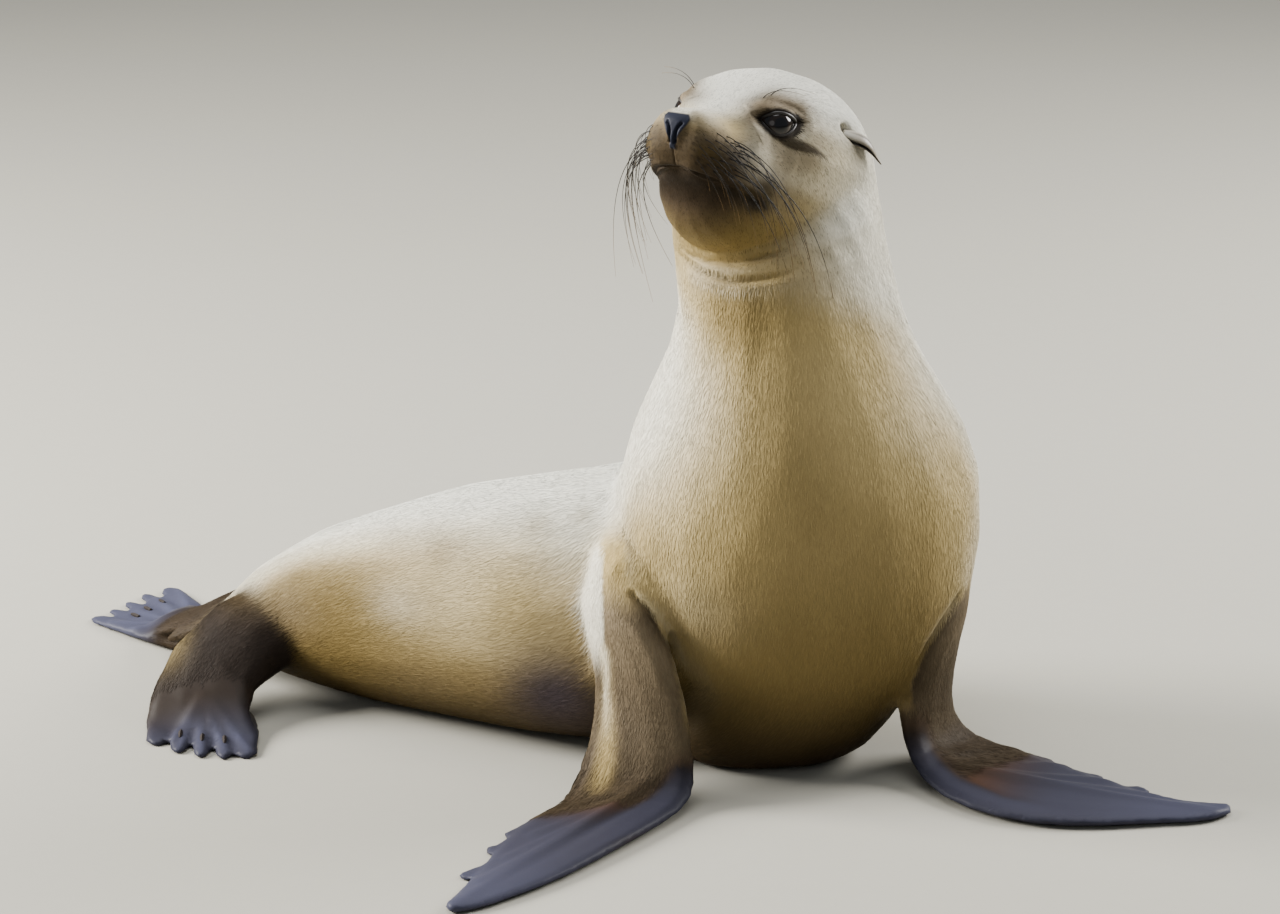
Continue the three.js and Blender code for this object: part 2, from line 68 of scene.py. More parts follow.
# The head's axes: forward along the muzzle, out to the animal's left, and up to the crown.
HEAD_YAW = math.radians(33.5)
HEAD_PITCH = math.radians(18)
FORWARD = np.array(
    [
        -math.sin(HEAD_YAW) * math.cos(HEAD_PITCH),
        -math.cos(HEAD_YAW) * math.cos(HEAD_PITCH),
        math.sin(HEAD_PITCH),
    ]
)
LEFT = np.array([math.cos(HEAD_YAW), -math.sin(HEAD_YAW), 0.0])
CROWN = np.cross(FORWARD, LEFT)
HEAD_AXES = np.array([FORWARD, LEFT, CROWN])

# The eyes in the head's axes, from the middle of the nose leather.
EYE_BACK = 0.0865
EYE_UP = 0.0155
EYE_RADIUS = 0.018
EYE_TURN = math.radians(52)  # how far each pupil looks out from straight ahead


def middle_of(node):
    """The middle of a node's box."""
    low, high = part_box(node)
    return np.array((low + high) / 2)


HEAD_AT = (middle_of("eye_left") + middle_of("eye_right")) / 2 + EYE_BACK * FORWARD - EYE_UP * CROWN


def in_head(points):
    """Places in the frame as places in the head's axes."""
    return (np.asarray(points) - HEAD_AT) @ HEAD_AXES.T


def from_head(local):
    """Places in the head's axes as places in the frame."""
    return np.asarray(local) @ HEAD_AXES + HEAD_AT


def turned_from_head(local):
    """Directions in the head's axes as directions in the frame."""
    return np.asarray(local) @ HEAD_AXES


# ---------------------------------------------------------------- small sums on arrays


def ramp(value, start, end):
    """0 at start, 1 at end, and smooth between them."""
    t = np.clip((value - start) / (end - start), 0.0, 1.0)
    return t * t * (3 - 2 * t)


def bump(value, place, width):
    """1 at a place, falling away to 0 like a bell."""
    return np.exp(-(((value - place) / width) ** 2))


def unit(vectors):
    return vectors / np.maximum(np.linalg.norm(vectors, axis=-1, keepdims=True), 1e-12)


def spot(points, place, reach):
    """1 at a place, falling away to 0 like a bell, with one reach for each axis or one for all."""
    away = (points - np.asarray(place)) / np.asarray(reach)
    return np.exp(-(away**2).sum(axis=-1))


OFF_SURFACE_IGNORED = 0.85  # share of a gap straight out of the surface that doesn't count


def near_line(points, line, normals=None):
    """How far each point is from a line of points, and where along it, from 0 to 1, its nearest place is.
    With normals, little of what lies straight out of the surface counts, so the line needn't touch it."""
    line = np.asarray(line, float)
    best = np.full(len(points), np.inf)
    along = np.zeros(len(points))
    for i in range(len(line) - 1):
        run = line[i + 1] - line[i]
        t = np.clip((points - line[i]) @ run / (run @ run), 0.0, 1.0)
        away = points - line[i] - t[:, None] * run
        if normals is not None:
            away = away - (OFF_SURFACE_IGNORED * (away * normals).sum(axis=1))[:, None] * normals
        gap = np.linalg.norm(away, axis=1)
        closer = gap < best
        best[closer] = gap[closer]
        along[closer] = (i + t[closer]) / (len(line) - 1)
    return best, along


def smooth_line(line, steps):
    """A smooth run of points through a few, as a Catmull-Rom curve."""
    line = np.asarray(line, float)
    padded = np.vstack([2 * line[0] - line[1], line, 2 * line[-1] - line[-2]])
    t = np.linspace(0, len(line) - 1, steps)
    i = np.minimum(t.astype(int), len(line) - 2)
    u = (t - i)[:, None]
    a, b, c, d = (padded[i + k] for k in range(4))
    return 0.5 * (2 * b + (c - a) * u + (2 * a - 5 * b + 4 * c - d) * u**2 + (3 * b - a - 3 * c + d) * u**3)


# ---------------------------------------------------------------- meshes as arrays


def points_of(mesh):
    points = np.empty(len(mesh.vertices) * 3)
    mesh.vertices.foreach_get("co", points)
    return points.reshape(-1, 3)


def set_points(mesh, points):
    mesh.vertices.foreach_set("co", np.ascontiguousarray(points, np.float32).ravel())
    mesh.update()


def edges_of(mesh):
    edges = np.empty(len(mesh.edges) * 2, int)
    mesh.edges.foreach_get("vertices", edges)
    return edges.reshape(-1, 2)


def normals_of(mesh):
    normals = np.empty(len(mesh.vertices) * 3)
    mesh.vertex_normals.foreach_get("vector", normals)
    return normals.reshape(-1, 3)


def triangles_of(mesh):
    mesh.calc_loop_triangles()
    corners = np.empty(len(mesh.loop_triangles) * 3, int)
    mesh.loop_triangles.foreach_get("vertices", corners)
    return corners.reshape(-1, 3)


def new_object(name, points, faces, smooth=True):
    """An object from arrays of points and of faces with the same number of corners each."""
    faces = np.asarray(faces)
    sides = faces.shape[1]
    mesh = bpy.data.meshes.new(name)
    mesh.vertices.add(len(points))
    mesh.vertices.foreach_set("co", np.ascontiguousarray(points, np.float32).ravel())
    mesh.loops.add(faces.size)
    mesh.loops.foreach_set("vertex_index", faces.ravel().astype(np.int32))
    mesh.polygons.add(len(faces))
    mesh.polygons.foreach_set("loop_start", np.arange(0, faces.size, sides, dtype=np.int32))
    mesh.update(calc_edges=True)
    mesh.polygons.foreach_set("use_smooth", np.full(len(faces), smooth))
    mesh.validate()
    piece = bpy.data.objects.new(name, mesh)
    bpy.context.scene.collection.objects.link(piece)
    return piece


def store_number(mesh, name, values):
    attribute = mesh.attributes.new(name, "FLOAT", "POINT")
    attribute.data.foreach_set("value", np.ascontiguousarray(values, np.float32))


def store_colour(mesh, name, colours):
    attribute = mesh.attributes.new(name, "FLOAT_COLOR", "POINT")
    with_alpha = np.ones((len(colours), 4), np.float32)
    with_alpha[:, :3] = colours
    attribute.data.foreach_set("color", with_alpha.ravel())


EASE_STEPS = 40


def evened(values, edges, amount, rounds, step=0.5):
    """Values on a mesh's points, each drawn towards the mean of its neighbours."""
    start, end = edges.T
    count = len(values)
    degree = np.maximum(np.bincount(edges.ravel(), minlength=count), 1)[:, None]
    share = (step * amount)[:, None]
    for _ in range(rounds):
        total = np.empty_like(values)
        for axis in range(values.shape[1]):
            column = values[:, axis]
            total[:, axis] = np.bincount(start, column[end], count) + np.bincount(end, column[start], count)
        values = values + share * (total / degree - values)
    return values


def eased(piece, amount, rounds):
    """Where an object's points come to after many rounds of smoothing, each with its own share of it."""
    level = np.round(np.clip(amount, 0, 1) * EASE_STEPS).astype(int)
    group = piece.vertex_groups.new(name="share")
    for step in range(1, EASE_STEPS + 1):
        chosen = np.flatnonzero(level == step)
        if len(chosen):
            group.add(chosen.tolist(), step / EASE_STEPS, "REPLACE")
    smooth = piece.modifiers.new("smooth", "SMOOTH")
    smooth.factor = 0.5
    smooth.iterations = rounds
    smooth.vertex_group = group.name
    held = piece.evaluated_get(bpy.context.evaluated_depsgraph_get())
    points = points_of(held.data)
    piece.modifiers.remove(smooth)
    piece.vertex_groups.remove(group)
    return points


def fair(piece, amount, rounds):
    """Smooths small facets away from an object, and puts back what that took from its broad form."""
    once = eased(piece, amount, rounds)
    set_points(piece.data, once)
    set_points(piece.data, 2 * once - eased(piece, amount, rounds))


# ---------------------------------------------------------------- lines and places on the body, in metres

MM = 0.001


def millimetres(*places):
    return np.array(places, float) * MM


def both_sides(half):
    """A line from the middle of the face out to the left, with its like on the right, as one line."""
    half = np.asarray(half)
    return np.vstack([half[:0:-1] * (1, -1, 1), half])


# In the head's axes.
MOUTH = both_sides(
    millimetres((-8, 0, -36), (-7, 8, -36.5), (-8, 16, -38.5), (-13, 24, -40.5), (-24, 32, -42.5),
                (-44, 42, -44.5), (-58, 49, -47), (-70, 53, -51))
)
LIP_SEAM = millimetres((3, 0, -19), (-2, 0, -27), (-9, 0, -34))
NOSTRIL = millimetres((1, 6.6, 1.0), (3, 4.3, -3.0), (3, 3.0, -7), (3, 2.4, -12), (2, 2.2, -17))
TEAR_STREAK = millimetres((-80, 52, 3.5), (-90, 60, 2), (-102, 69, 0), (-115, 77, -3.5))
BROW_FOLD = millimetres((-62, 40, 29), (-76, 45, 34.5), (-92, 52, 33), (-102, 61, 26))

# In the frame's axes.
THROAT_FOLDS = [
    millimetres((56, 8, 461), (53, -26, 452.5), (67, -46, 449.8), (88, -59, 451.6), (108, -65, 454.9),
                (133, -66, 462.9), (158, -58, 470)),
    millimetres((52, 4, 452), (50, -24, 446.5), (67, -50, 441.2), (84, -64, 438.9), (96, -71, 438.1),
                (129, -77, 443.1), (160, -70, 452)),
]
ARM_FOLDS = {
    "right": millimetres((6, -100, 177), (12, -105, 169), (24, -108, 160), (35, -107, 141), (42, -98, 126),
                         (48, -84, 106), (54, -72, 84), (59, -64, 57)),
    "left": millimetres((300, -56, 163), (292, -65, 152), (282, -74, 141), (275, -79, 132), (268, -82, 122),
                        (260, -84, 109), (250, -88, 86)),
}
CUT_FOLD = {"right": 4, "left": 7}  # how many of its points the fold is cut along, above the free arm
BACK_OF_ARM = millimetres((-18, -84, 100), (-18, -96, 80), (-20, -111, 59), (-26, -128, 38),
                          (-39, -161, 16), (-51, -189, 11))
HANDS = {  # where the digits of each foreflipper start, the tip of the first and the trailing corner
    "right": millimetres((34, -150, 22), (-132, -370, 6), (-50, -196, 9)),
    "left": millimetres((262, -108, 22), (508, -188, 6), (345, -52, 9)),
}
LEADING_EDGES = {  # a little way in from the edge, from the forearm to the tip
    "right": millimetres((59, -145, 53), (60, -154, 32), (53, -167, 19), (36, -191, 14), (11, -219, 13),
                         (-24, -254, 13), (-53, -293, 12), (-83, -330, 10), (-113, -364, 7)),
    "left": millimetres((251, -91, 66), (253, -95, 42), (255, -105, 26), (263, -120, 18), (283, -154, 12),
                        (315, -184, 11), (358, -201, 11), (414, -201, 10), (471, -191, 9)),
}
HAIR_ENDS = {  # where the fur of the forearm gives way to bare hide
    "right": millimetres((-60, -200, 10), (-32, -197, 14), (-9, -193, 15), (16, -191, 16), (36, -177, 17),
                         (49, -165, 23), (58, -153, 37)),
    "left": millimetres((262, -120, 18), (292, -129, 16), (318, -112, 15), (345, -78, 10)),
}
# Along the arm's outer edge: partly pale coat, partly painted highlight where the edge catches the light.
PALE_LIT_EDGE_OF_ARM = millimetres((-15, -95, 118), (-14, -102, 82), (-11, -120, 57), (-12, -139, 37),
                               (-15, -156, 24), (-20, -176, 17))
FEET = {  # where the toes of each hind flipper start, and the tips of the outer two
    "right": millimetres((-372, 34, 20), (-410, -52, 5), (-326, -52, 5)),
    "left": millimetres((-410, 250, 18), (-508, 232, 5), (-440, 362, 5)),
}

# The coat's lie: a place, the way the hairs point there, and how far that holds. First on the head, in its
# own axes, where what is off the middle is repeated on the other side.
LIE_ON_HEAD = [
    ((-5, 0, 14), (-1, 0, 0.45), 20),
    ((-45, 0, 36), (-1, 0, 0.35), 30),
    ((-90, 0, 55), (-1, 0, 0.05), 35),
    ((-140, 0, 45), (-1, 0, -0.35), 35),
    ((-175, 0, 10), (-0.7, 0, -0.8), 40),
    ((-12, 24, -12), (-0.5, 0.7, -0.5), 18),
    ((-35, 38, -20), (-0.75, 0.35, -0.6), 22),
    ((-60, 46, -5), (-0.9, 0.25, -0.3), 22),
    ((-82, 46, 34), (-1, 0.15, 0.2), 20),
    ((-105, 66, 0), (-0.8, 0.2, -0.55), 28),
    ((-130, 76, -10), (-0.7, 0.2, -0.7), 30),
    ((-90, 60, -45), (-0.6, 0.2, -0.8), 35),
    ((-10, 0, -52), (-0.45, 0, -0.9), 20),
    ((-45, 20, -72), (-0.6, 0.1, -0.8), 30),
    ((-85, 0, -100), (-0.35, 0, -1), 40),
]
LIE_ON_BODY = [
    ((60, -60, 400), (-0.05, -0.1, -1), 70),
    ((210, -20, 430), (0.15, -0.05, -1), 70),
    ((210, 90, 450), (0.05, 0.25, -1), 80),
    ((130, -130, 260), (0.0, -0.1, -1), 90),
    ((10, -50, 280), (-0.25, -0.05, -1), 80),
    ((290, -30, 250), (0.05, 0.15, -1), 90),
    ((230, 150, 300), (-0.3, 0.35, -0.9), 100),
    ((80, 140, 280), (-0.75, 0.15, -0.65), 80),
    ((150, -130, 110), (-0.1, 0.2, -1), 80),
    ((140, 20, 10), (-1, 0.15, 0), 120),
    ((280, 90, 90), (-0.5, 0.6, -0.7), 90),
    ((120, 170, 120), (-0.95, 0.2, -0.3), 90),
    ((-20, 20, 200), (-0.85, 0.1, -0.5), 60),
    ((-40, -50, 110), (-0.85, 0.15, -0.5), 50),
    ((-120, 100, 210), (-0.95, 0.08, -0.25), 90),
    ((-120, 0, 120), (-0.95, 0.12, -0.3), 80),
    ((-130, -20, 30), (-1, 0.15, -0.05), 80),
    ((-130, 180, 80), (-0.95, 0.1, -0.2), 80),
    ((-300, 110, 130), (-0.9, 0.1, -0.4), 70),
    ((-300, 60, 80), (-0.9, -0.05, -0.45), 60),
    ((-370, 190, 80), (-0.95, 0.15, -0.35), 50),
    ((-370, 85, 75), (-0.35, -0.6, -0.7), 45),
    ((-370, 40, 40), (-0.15, -0.9, -0.5), 40),
    ((-430, 230, 50), (-0.7, 0.6, -0.4), 45),
    ((10, -80, 180), (0.05, -0.2, -1), 40),
    ((-20, -68, 175), (0.02, -0.2, -1), 26),
    ((-20, -88, 125), (0.05, -0.3, -1), 24),
    ((15, -120, 100), (0.05, -0.35, -0.95), 45),
    ((20, -155, 40), (-0.3, -0.8, -0.55), 35),
    ((-60, -260, 15), (-0.55, -0.8, -0.1), 70),
    ((270, -50, 150), (-0.05, -0.1, -1), 45),
    ((265, -85, 70), (0.1, -0.3, -0.95), 40),
    ((300, -120, 25), (0.9, -0.35, -0.2), 45),
    ((400, -130, 15), (0.95, -0.25, -0.05), 80),
]


# ---------------------------------------------------------------- the skin's form

VOXEL = 0.0026  # fine enough for the webs of the hind flippers
SKIN_TRIANGLES = 67_000  # after thinning, before the face is made finer
THINNING_STEPS = 8
LONGEST_EDGE = 0.008
FOLD_REACH = 0.009  # how far from a sharp fold the skin is made finer
FOLD_EDGE = 0.0030
FAIRING_ROUNDS = 450
FAIRING_ON_HEAD = 0.035  # share of the rounds that a place with small forms takes
FAIRING_ON_NECK = 0.45
FAIRING_ON_LIMBS = 0.12
FAIRING_ON_FLIPPERS = 0.025
EASED_BY_FOLDS = 0.022  # how far from the fold of an armpit the skin is evened
ROUNDS_BY_FOLDS = 110
ROUNDS_BEHIND_HEAD = 50
ROUNDS_AFTER_SPLITS = 3
ROUNDS_UNDER_COAT = 4  # of the normals along which the skin is laid under the coat, and of the coat's depth
THINNER_ON_LIMBS = 0.5  # share of the coat's depth that the limbs lack
THINNER_ON_FACE = 0.6
HEAD_ENDS = (-0.150, -0.215)  # along the muzzle's axis, where the head's small forms give way to the neck's
FACE_END = -0.112  # behind the eyes
SNOUT_END = -0.012
FLOOR_GAP = 0.0004

FLIPPERS = [name for name in FLESH if "flipper" in name]
FOREARMS = [name for name in FLESH if name.startswith("forearm")]
FOREFLIPPERS = [name for name in FLESH if name.startswith("foreflipper")]
HIND_FLIPPERS = [name for name in FLESH if name.startswith("hind_flipper")]
LEGS = [name for name in FLESH if name.startswith("leg")]
LIMBS = FLIPPERS + FOREARMS + LEGS
BROAD_ROUNDS = 40  # how far the markings' edges and the normals behind them are evened


def inside_box(points, node, soft):
    """How far inside a node's box each point is: 1 within it, and 0 at `soft` outside it."""
    low, high = (np.array(corner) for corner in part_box(node))
    outside = np.maximum(np.maximum(low - points, points - high), 0.0)
    return 1 - ramp(np.linalg.norm(outside, axis=1), 0.0, soft)


def headness(points):
    """1 on the head and 0 on the neck and the body."""
    local = in_head(points)
    forward_of_neck = 1 - ramp(-local[:, 0], -HEAD_ENDS[0], -HEAD_ENDS[1])
    return forward_of_neck * ramp(local[:, 2], -0.125, -0.095) * ramp(points[:, 2], 0.42, 0.45)


def flipperness(points):
    """1 on the flippers, less on the low parts of the arms and legs, and 0 on the trunk."""
    found = np.zeros(len(points))
    for name in FLIPPERS:
        found = np.maximum(found, inside_box(points, name, 0.03))
    for name in FOREARMS + LEGS:
        low_part = 1 - ramp(points[:, 2], 0.05, 0.14)
        found = np.maximum(found, 0.6 * inside_box(points, name, 0.01) * low_part)
    return found


def fairing_share(points):
    """How much of the fairing each place takes: all on the trunk, and little where the forms are small."""
    share = np.ones(len(points))
    neck = ramp(points[:, 2], 0.34, 0.42)
    share += neck * (FAIRING_ON_NECK - share)
    limbs = np.zeros(len(points))
    for name in FOREARMS + LEGS:
        limbs = np.maximum(limbs, inside_box(points, name, 0.03) * (1 - ramp(points[:, 2], 0.17, 0.25)))
    share += limbs * (FAIRING_ON_LIMBS - share)
    share += headness(points) * (FAIRING_ON_HEAD - share)
    return share + flipperness(points) * (FAIRING_ON_FLIPPERS - share)


def with_modifiers_applied(piece):
    """Makes what an object's modifiers do to its mesh permanent."""
    piece.data = bpy.data.meshes.new_from_object(piece.evaluated_get(bpy.context.evaluated_depsgraph_get()))
    piece.modifiers.clear()
    return piece


def joined_flesh():
    """All the nodes of flesh and the eyeballs as one closed shell, remeshed into even squares."""
    form = bmesh.new()
    for name in FLESH + EYES:
        form.from_mesh(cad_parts[name].data)
    mesh = bpy.data.meshes.new("skin")
    form.to_mesh(mesh)
    form.free()
    flesh = bpy.data.objects.new("skin", mesh)
    bpy.context.scene.collection.objects.link(flesh)
    remesh = flesh.modifiers.new("even squares", "REMESH")
    remesh.mode = "VOXEL"
    remesh.voxel_size = VOXEL
    return with_modifiers_applied(flesh)


def keep_largest_shell(mesh):
    """Drops every shell of a mesh but the largest, such as the walls left inside at the cuts."""
    edges = edges_of(mesh)
    label = np.arange(len(mesh.vertices))
    while True:
        before = label.copy()
        lowest = np.minimum(label[edges[:, 0]], label[edges[:, 1]])
        np.minimum.at(label, edges[:, 0], lowest)
        np.minimum.at(label, edges[:, 1], lowest)
        label = label[label]
        if (label == before).all():
            break
    shells, sizes = np.unique(label, return_counts=True)
    stray = np.flatnonzero(label != shells[sizes.argmax()])
    if len(stray):
        form = bmesh.new()
        form.from_mesh(mesh)
        form.verts.ensure_lookup_table()
        bmesh.ops.delete(form, geom=[form.verts[i] for i in stray], context="VERTS")
        form.to_mesh(mesh)
        form.free()


def thin_out(piece, keep_fine, triangles):
    """Takes triangles away where the form is broad, and leaves them where `keep_fine` is high."""
    group = piece.vertex_groups.new(name="broad")
    level = np.round((1 - keep_fine) * THINNING_STEPS).astype(int)
    for step in range(1, THINNING_STEPS + 1):
        chosen = np.flatnonzero(level == step)
        if len(chosen):
            group.add(chosen.tolist(), step / THINNING_STEPS, "REPLACE")
    thin = piece.modifiers.new("fewer triangles", "DECIMATE")
    thin.ratio = triangles / (2 * len(piece.data.polygons))
    thin.vertex_group = group.name
    thin.vertex_group_factor = 1.0
    with_modifiers_applied(piece)
    piece.vertex_groups.clear()


def split_edges(mesh, chosen):
    """Splits the chosen edges in two, and the faces beside them into triangles, none of them doubled."""
    form = bmesh.new()
    form.from_mesh(mesh)
    form.edges.ensure_lookup_table()
    edges = [form.edges[i] for i in np.flatnonzero(chosen)]
    bmesh.ops.subdivide_edges(form, edges=edges, cuts=1, use_grid_fill=True)
    bmesh.ops.triangulate(form, faces=[f for f in form.faces if len(f.verts) > 3])
    with_same_corners = {}
    for face in form.faces:
        with_same_corners.setdefault(frozenset(face.verts), []).append(face)
    doubled = [face for faces in with_same_corners.values() if len(faces) > 1 for face in faces]
    bmesh.ops.delete(form, geom=doubled, context="FACES")
    form.to_mesh(mesh)
    form.free()


def split_long_edges(mesh):
    """Splits the edges of a mesh until hardly any is longer than the longest allowed."""
    for _ in range(3):
        start, end = edges_of(mesh).T
        points = points_of(mesh)
        split_edges(mesh, np.linalg.norm(points[end] - points[start], axis=1) > LONGEST_EDGE)


def split_near_folds(mesh):
    """Makes the skin fine enough for the sharp folds of the throat and the armpits."""
    for _ in range(2):
        start, end = edges_of(mesh).T
        points = points_of(mesh)
        near = np.zeros(len(points), bool)
        for line in THROAT_FOLDS + list(ARM_FOLDS.values()):
            near |= near_line(points, line)[0] < FOLD_REACH
        length = np.linalg.norm(points[end] - points[start], axis=1)
        split_edges(mesh, near[start] & near[end] & (length > FOLD_EDGE))


def nearest_nodes(points):
    """The name of the node of flesh that each point lies on."""
    corners, faces, owners = [], [], []
    start = 0
    for name in FLESH:
        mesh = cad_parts[name].data
        corners.append(points_of(mesh))
        triangles = triangles_of(mesh)
        faces.append(triangles + start)
        owners += [name] * len(triangles)
        start += len(mesh.vertices)
    tree = BVHTree.FromPolygons(np.vstack(corners).tolist(), np.vstack(faces).tolist())
    return np.array([owners[tree.find_nearest(p)[2]] for p in points.tolist()])


# ---------------------------------------------------------------- the eyes' openings

LID_THICKNESS = 0.0015
EYE_INSET = 0.0024  # how far the skin drops behind the eyeball's surface inside the opening
INNER_CORNER = np.array([-0.0160, 0.0012])
OUTER_CORNER = np.array([0.0160, 0.0036])
UPPER_LID = 0.0070  # how far the lids stand from the line between the corners
LOWER_LID = 0.0112


def eye_axes(side):
    """The eyeball's middle and its axes in the frame: rearward, up and outward."""
    sign = SIDES[side]
    rearward = turned_from_head((-math.sin(EYE_TURN), sign * math.cos(EYE_TURN), 0))
    outward = turned_from_head((math.cos(EYE_TURN), sign * math.sin(EYE_TURN), 0))
    return middle_of("eye_" + side), np.array([rearward, CROWN, outward])


def lid_line(steps=64):
    """The opening's closed edge, seen along the eye's axis: from the inner corner over the top and back."""
    t = np.linspace(0, 1, steps // 2, endpoint=False)[:, None]
    chord = OUTER_CORNER - INNER_CORNER
    upper = INNER_CORNER + t * chord
    upper[:, 1] += UPPER_LID * (np.sin(math.pi * t[:, 0] ** 0.9)) ** 0.72
    lower = OUTER_CORNER - t * chord
    lower[:, 1] -= LOWER_LID * (np.sin(math.pi * t[:, 0] ** 0.88)) ** 0.8
    return np.vstack([upper, lower])


def outside_lids(across):
    """How far outside the opening each place is, and less than 0 inside it."""
    line = lid_line()
    closed = np.vstack([line, line[:1]])
    gap, _ = near_line(across, closed)
    angle = np.zeros(len(across))
    for a, b in zip(closed[:-1], closed[1:]):
        to_a, to_b = a - across, b - across
        turn = to_a[:, 0] * to_b[:, 1] - to_a[:, 1] * to_b[:, 0]
        angle += np.arctan2(turn, (to_a * to_b).sum(axis=1))
    return np.where(np.abs(angle) > math.pi, -gap, gap)


def open_eyes(points):
    """Draws the skin behind each eyeball inside the lids, and lays it over the eyeball outside them."""
    for side in SIDES:
        middle, axes = eye_axes(side)
        local = (points - middle) @ axes.T
        reach = np.linalg.norm(local, axis=1)
        near = (reach < 1.9 * EYE_RADIUS) & (local[:, 2] > 0.15 * EYE_RADIUS)
        spots, far_out = local[near], reach[near]
        outside = outside_lids(spots[:, :2] * (EYE_RADIUS / far_out)[:, None])
        behind = EYE_RADIUS - EYE_INSET
        over = np.maximum(far_out, EYE_RADIUS + LID_THICKNESS)
        share = ramp(outside, -0.0004, 0.0009)
        wanted = behind + share * (over - behind)
        swell = 0.0008 * bump(outside, 0.0026, 0.0016) - 0.0010 * bump(outside, 0.0062, 0.0014)
        spots = spots * ((wanted + swell * ramp(spots[:, 2], 0.002, 0.008)) / far_out)[:, None]
        points[near] = spots @ axes + middle
    return points


# ---------------------------------------------------------------- folds, lips and digits

NOSE_TOP = 0.0088
NOSE_FOOT = -0.021
NOSE_BACK = -0.016
DIGITS = 5


def nose_leather(local):
    """1 on the bare leather of the nose, in the head's axes."""
    ahead, aside, up = local.T
    half = 0.0028 + 0.0100 * ramp(up, NOSE_FOOT + 0.003, 0.006) - 0.0035 * ramp(up, 0.004, NOSE_TOP + 0.002)
    across = ramp(half - np.abs(aside), -0.0008, 0.0008)
    up_and_down = ramp(up, NOSE_FOOT - 0.001, NOSE_FOOT + 0.001) * ramp(NOSE_TOP - up, -0.0012, 0.001)
    return across * up_and_down * (ahead > NOSE_BACK)


def carve(points, normals, line, width, depth, fade=0.12):
    """Sinks a groove along a line into the surface, fading out at both ends."""
    gap, along = near_line(points, smooth_line(line, 6 * len(line)), normals)
    strength = ramp(along, 0, fade) * ramp(1 - along, 0, fade) if fade else 1.0
    return points - (depth * strength * bump(gap, 0, width))[:, None] * normals


def other_side(line):
    return np.asarray(line) * (1, -1, 1)


def mouth_height(along):
    """How high the line of the mouth is, from one end of it to the other."""
    return np.interp(along, np.linspace(0, 1, len(MOUTH)), MOUTH[:, 2])


def sculpt_head(points, normals):
    """Lips, nostrils and the folds round the eyes and under the chin."""
    near = np.flatnonzero(headness(points) > 0.02)
    local = in_head(points[near])
    facing = normals[near] @ HEAD_AXES.T
    leather = nose_leather(local)
    local += facing * (0.0008 * leather)[:, None]
    ahead, aside, up = local.T
    local[:, 0] -= 0.0070 * bump(aside, 0, 0.014) * bump(up, -0.039, 0.013) * ramp(ahead, -0.035, -0.014)
    for side in (-1, 1):
        brow_root = spot(local, (-0.052, side * 0.033, 0.019), (0.011, 0.012, 0.009))
        local[:, 1] += side * 0.0030 * brow_root
        bridge_side = spot(local, (-0.046, side * 0.027, 0.022), (0.015, 0.011, 0.011))
        local[:, 1] += side * 0.0028 * bridge_side
        local[:, 2] += 0.0034 * bridge_side
    local[:, 0] -= 0.0090 * bump(aside, 0, 0.036) * bump(up, -0.062, 0.020) * ramp(ahead, -0.060, -0.020)
    local[:, 1] *= 1 - 0.085 * bump(up, -0.062, 0.024) * ramp(ahead, -0.085, -0.045)
    gap, along = near_line(local, smooth_line(MOUTH, 90), facing)
    ends = ramp(along, 0, 0.05) * ramp(1 - along, 0, 0.05)
    above = ramp(local[:, 2] - mouth_height(along), -0.0005, 0.0015)
    lips = 0.0012 * above * bump(gap, 0.0042, 0.0030) - 0.0022 * (1 - above) * bump(gap, 0.0020, 0.0050)
    local += facing * (ends * (lips - 0.0030 * bump(gap, 0, 0.0013)))[:, None]
    local = carve(local, facing, LIP_SEAM, 0.0011, 0.0010, 0.1)
    for turn in (np.asarray, other_side):
        local = carve(local, facing, turn(NOSTRIL), 0.0010, 0.0042, 0.12)
        local = carve(local, facing, turn(BROW_FOLD), 0.0024, 0.0010, 0.25)
        local = carve(local, facing, turn(MOUTH[-3:]), 0.0040, 0.0012, 0.3)
    points[near] = from_head(local)
    return points


def fan(start, first, last, count):
    """Lines from a wrist or an ankle out to tips that stand between two of them."""
    for share in np.linspace(0, 1, count):
        tip = first + share * (last - first)
        middle = start + 0.5 * (tip - start) + 0.06 * (first - last) * math.sin(math.pi * share)
        yield np.array([start, middle, tip])


def sculpt_body(points, normals):
    """The throat's and the armpits' folds, and the digits that show through the flippers."""
    for line in THROAT_FOLDS:
        points = carve(points, normals, line, 0.0036, 0.0046, 0.3)
    for side, line in ARM_FOLDS.items():
        points = carve(points, normals, line[:CUT_FOLD[side]], 0.0032, 0.0050, 0.22)
    points = carve(points, normals, BACK_OF_ARM, 0.0042, 0.0022, 0.25)
    upward = ramp(normals[:, 2], 0.1, 0.5)
    for lines, width, height in ((HANDS, 0.0060, 0.0024), (FEET, 0.0050, 0.0022)):
        for start, first, last in lines.values():
            for line in fan(start, first, last, DIGITS):
                gap, along = near_line(points, line, normals)
                raised = height * bump(gap, 0, width) * ramp(along, 0, 0.3) * (1 - 0.5 * along)
                points = points + (raised * upward)[:, None] * normals
    return points


def past_line(points, line):
    """How far each place is to the right of a line seen from above, and less than 0 to its left."""
    gap, along = near_line(points, line)
    steps = np.linspace(0, 1, len(line))
    away_x, away_y = (points[:, i] - np.interp(along, steps, line[:, i]) for i in (0, 1))
    run_x, run_y = (np.interp(along, steps, np.gradient(line[:, i])) for i in (0, 1))
    return gap * np.sign(run_y * away_x - run_x * away_y)


def leading_edge(points, side):
    """1 along the leading edge of a foreflipper and of the forearm just above it."""
    gap, along = near_line(points, LEADING_EDGES[side])
    return (1 - ramp(gap, 0.010, 0.024)) * ramp(along, 0.0, 0.16)


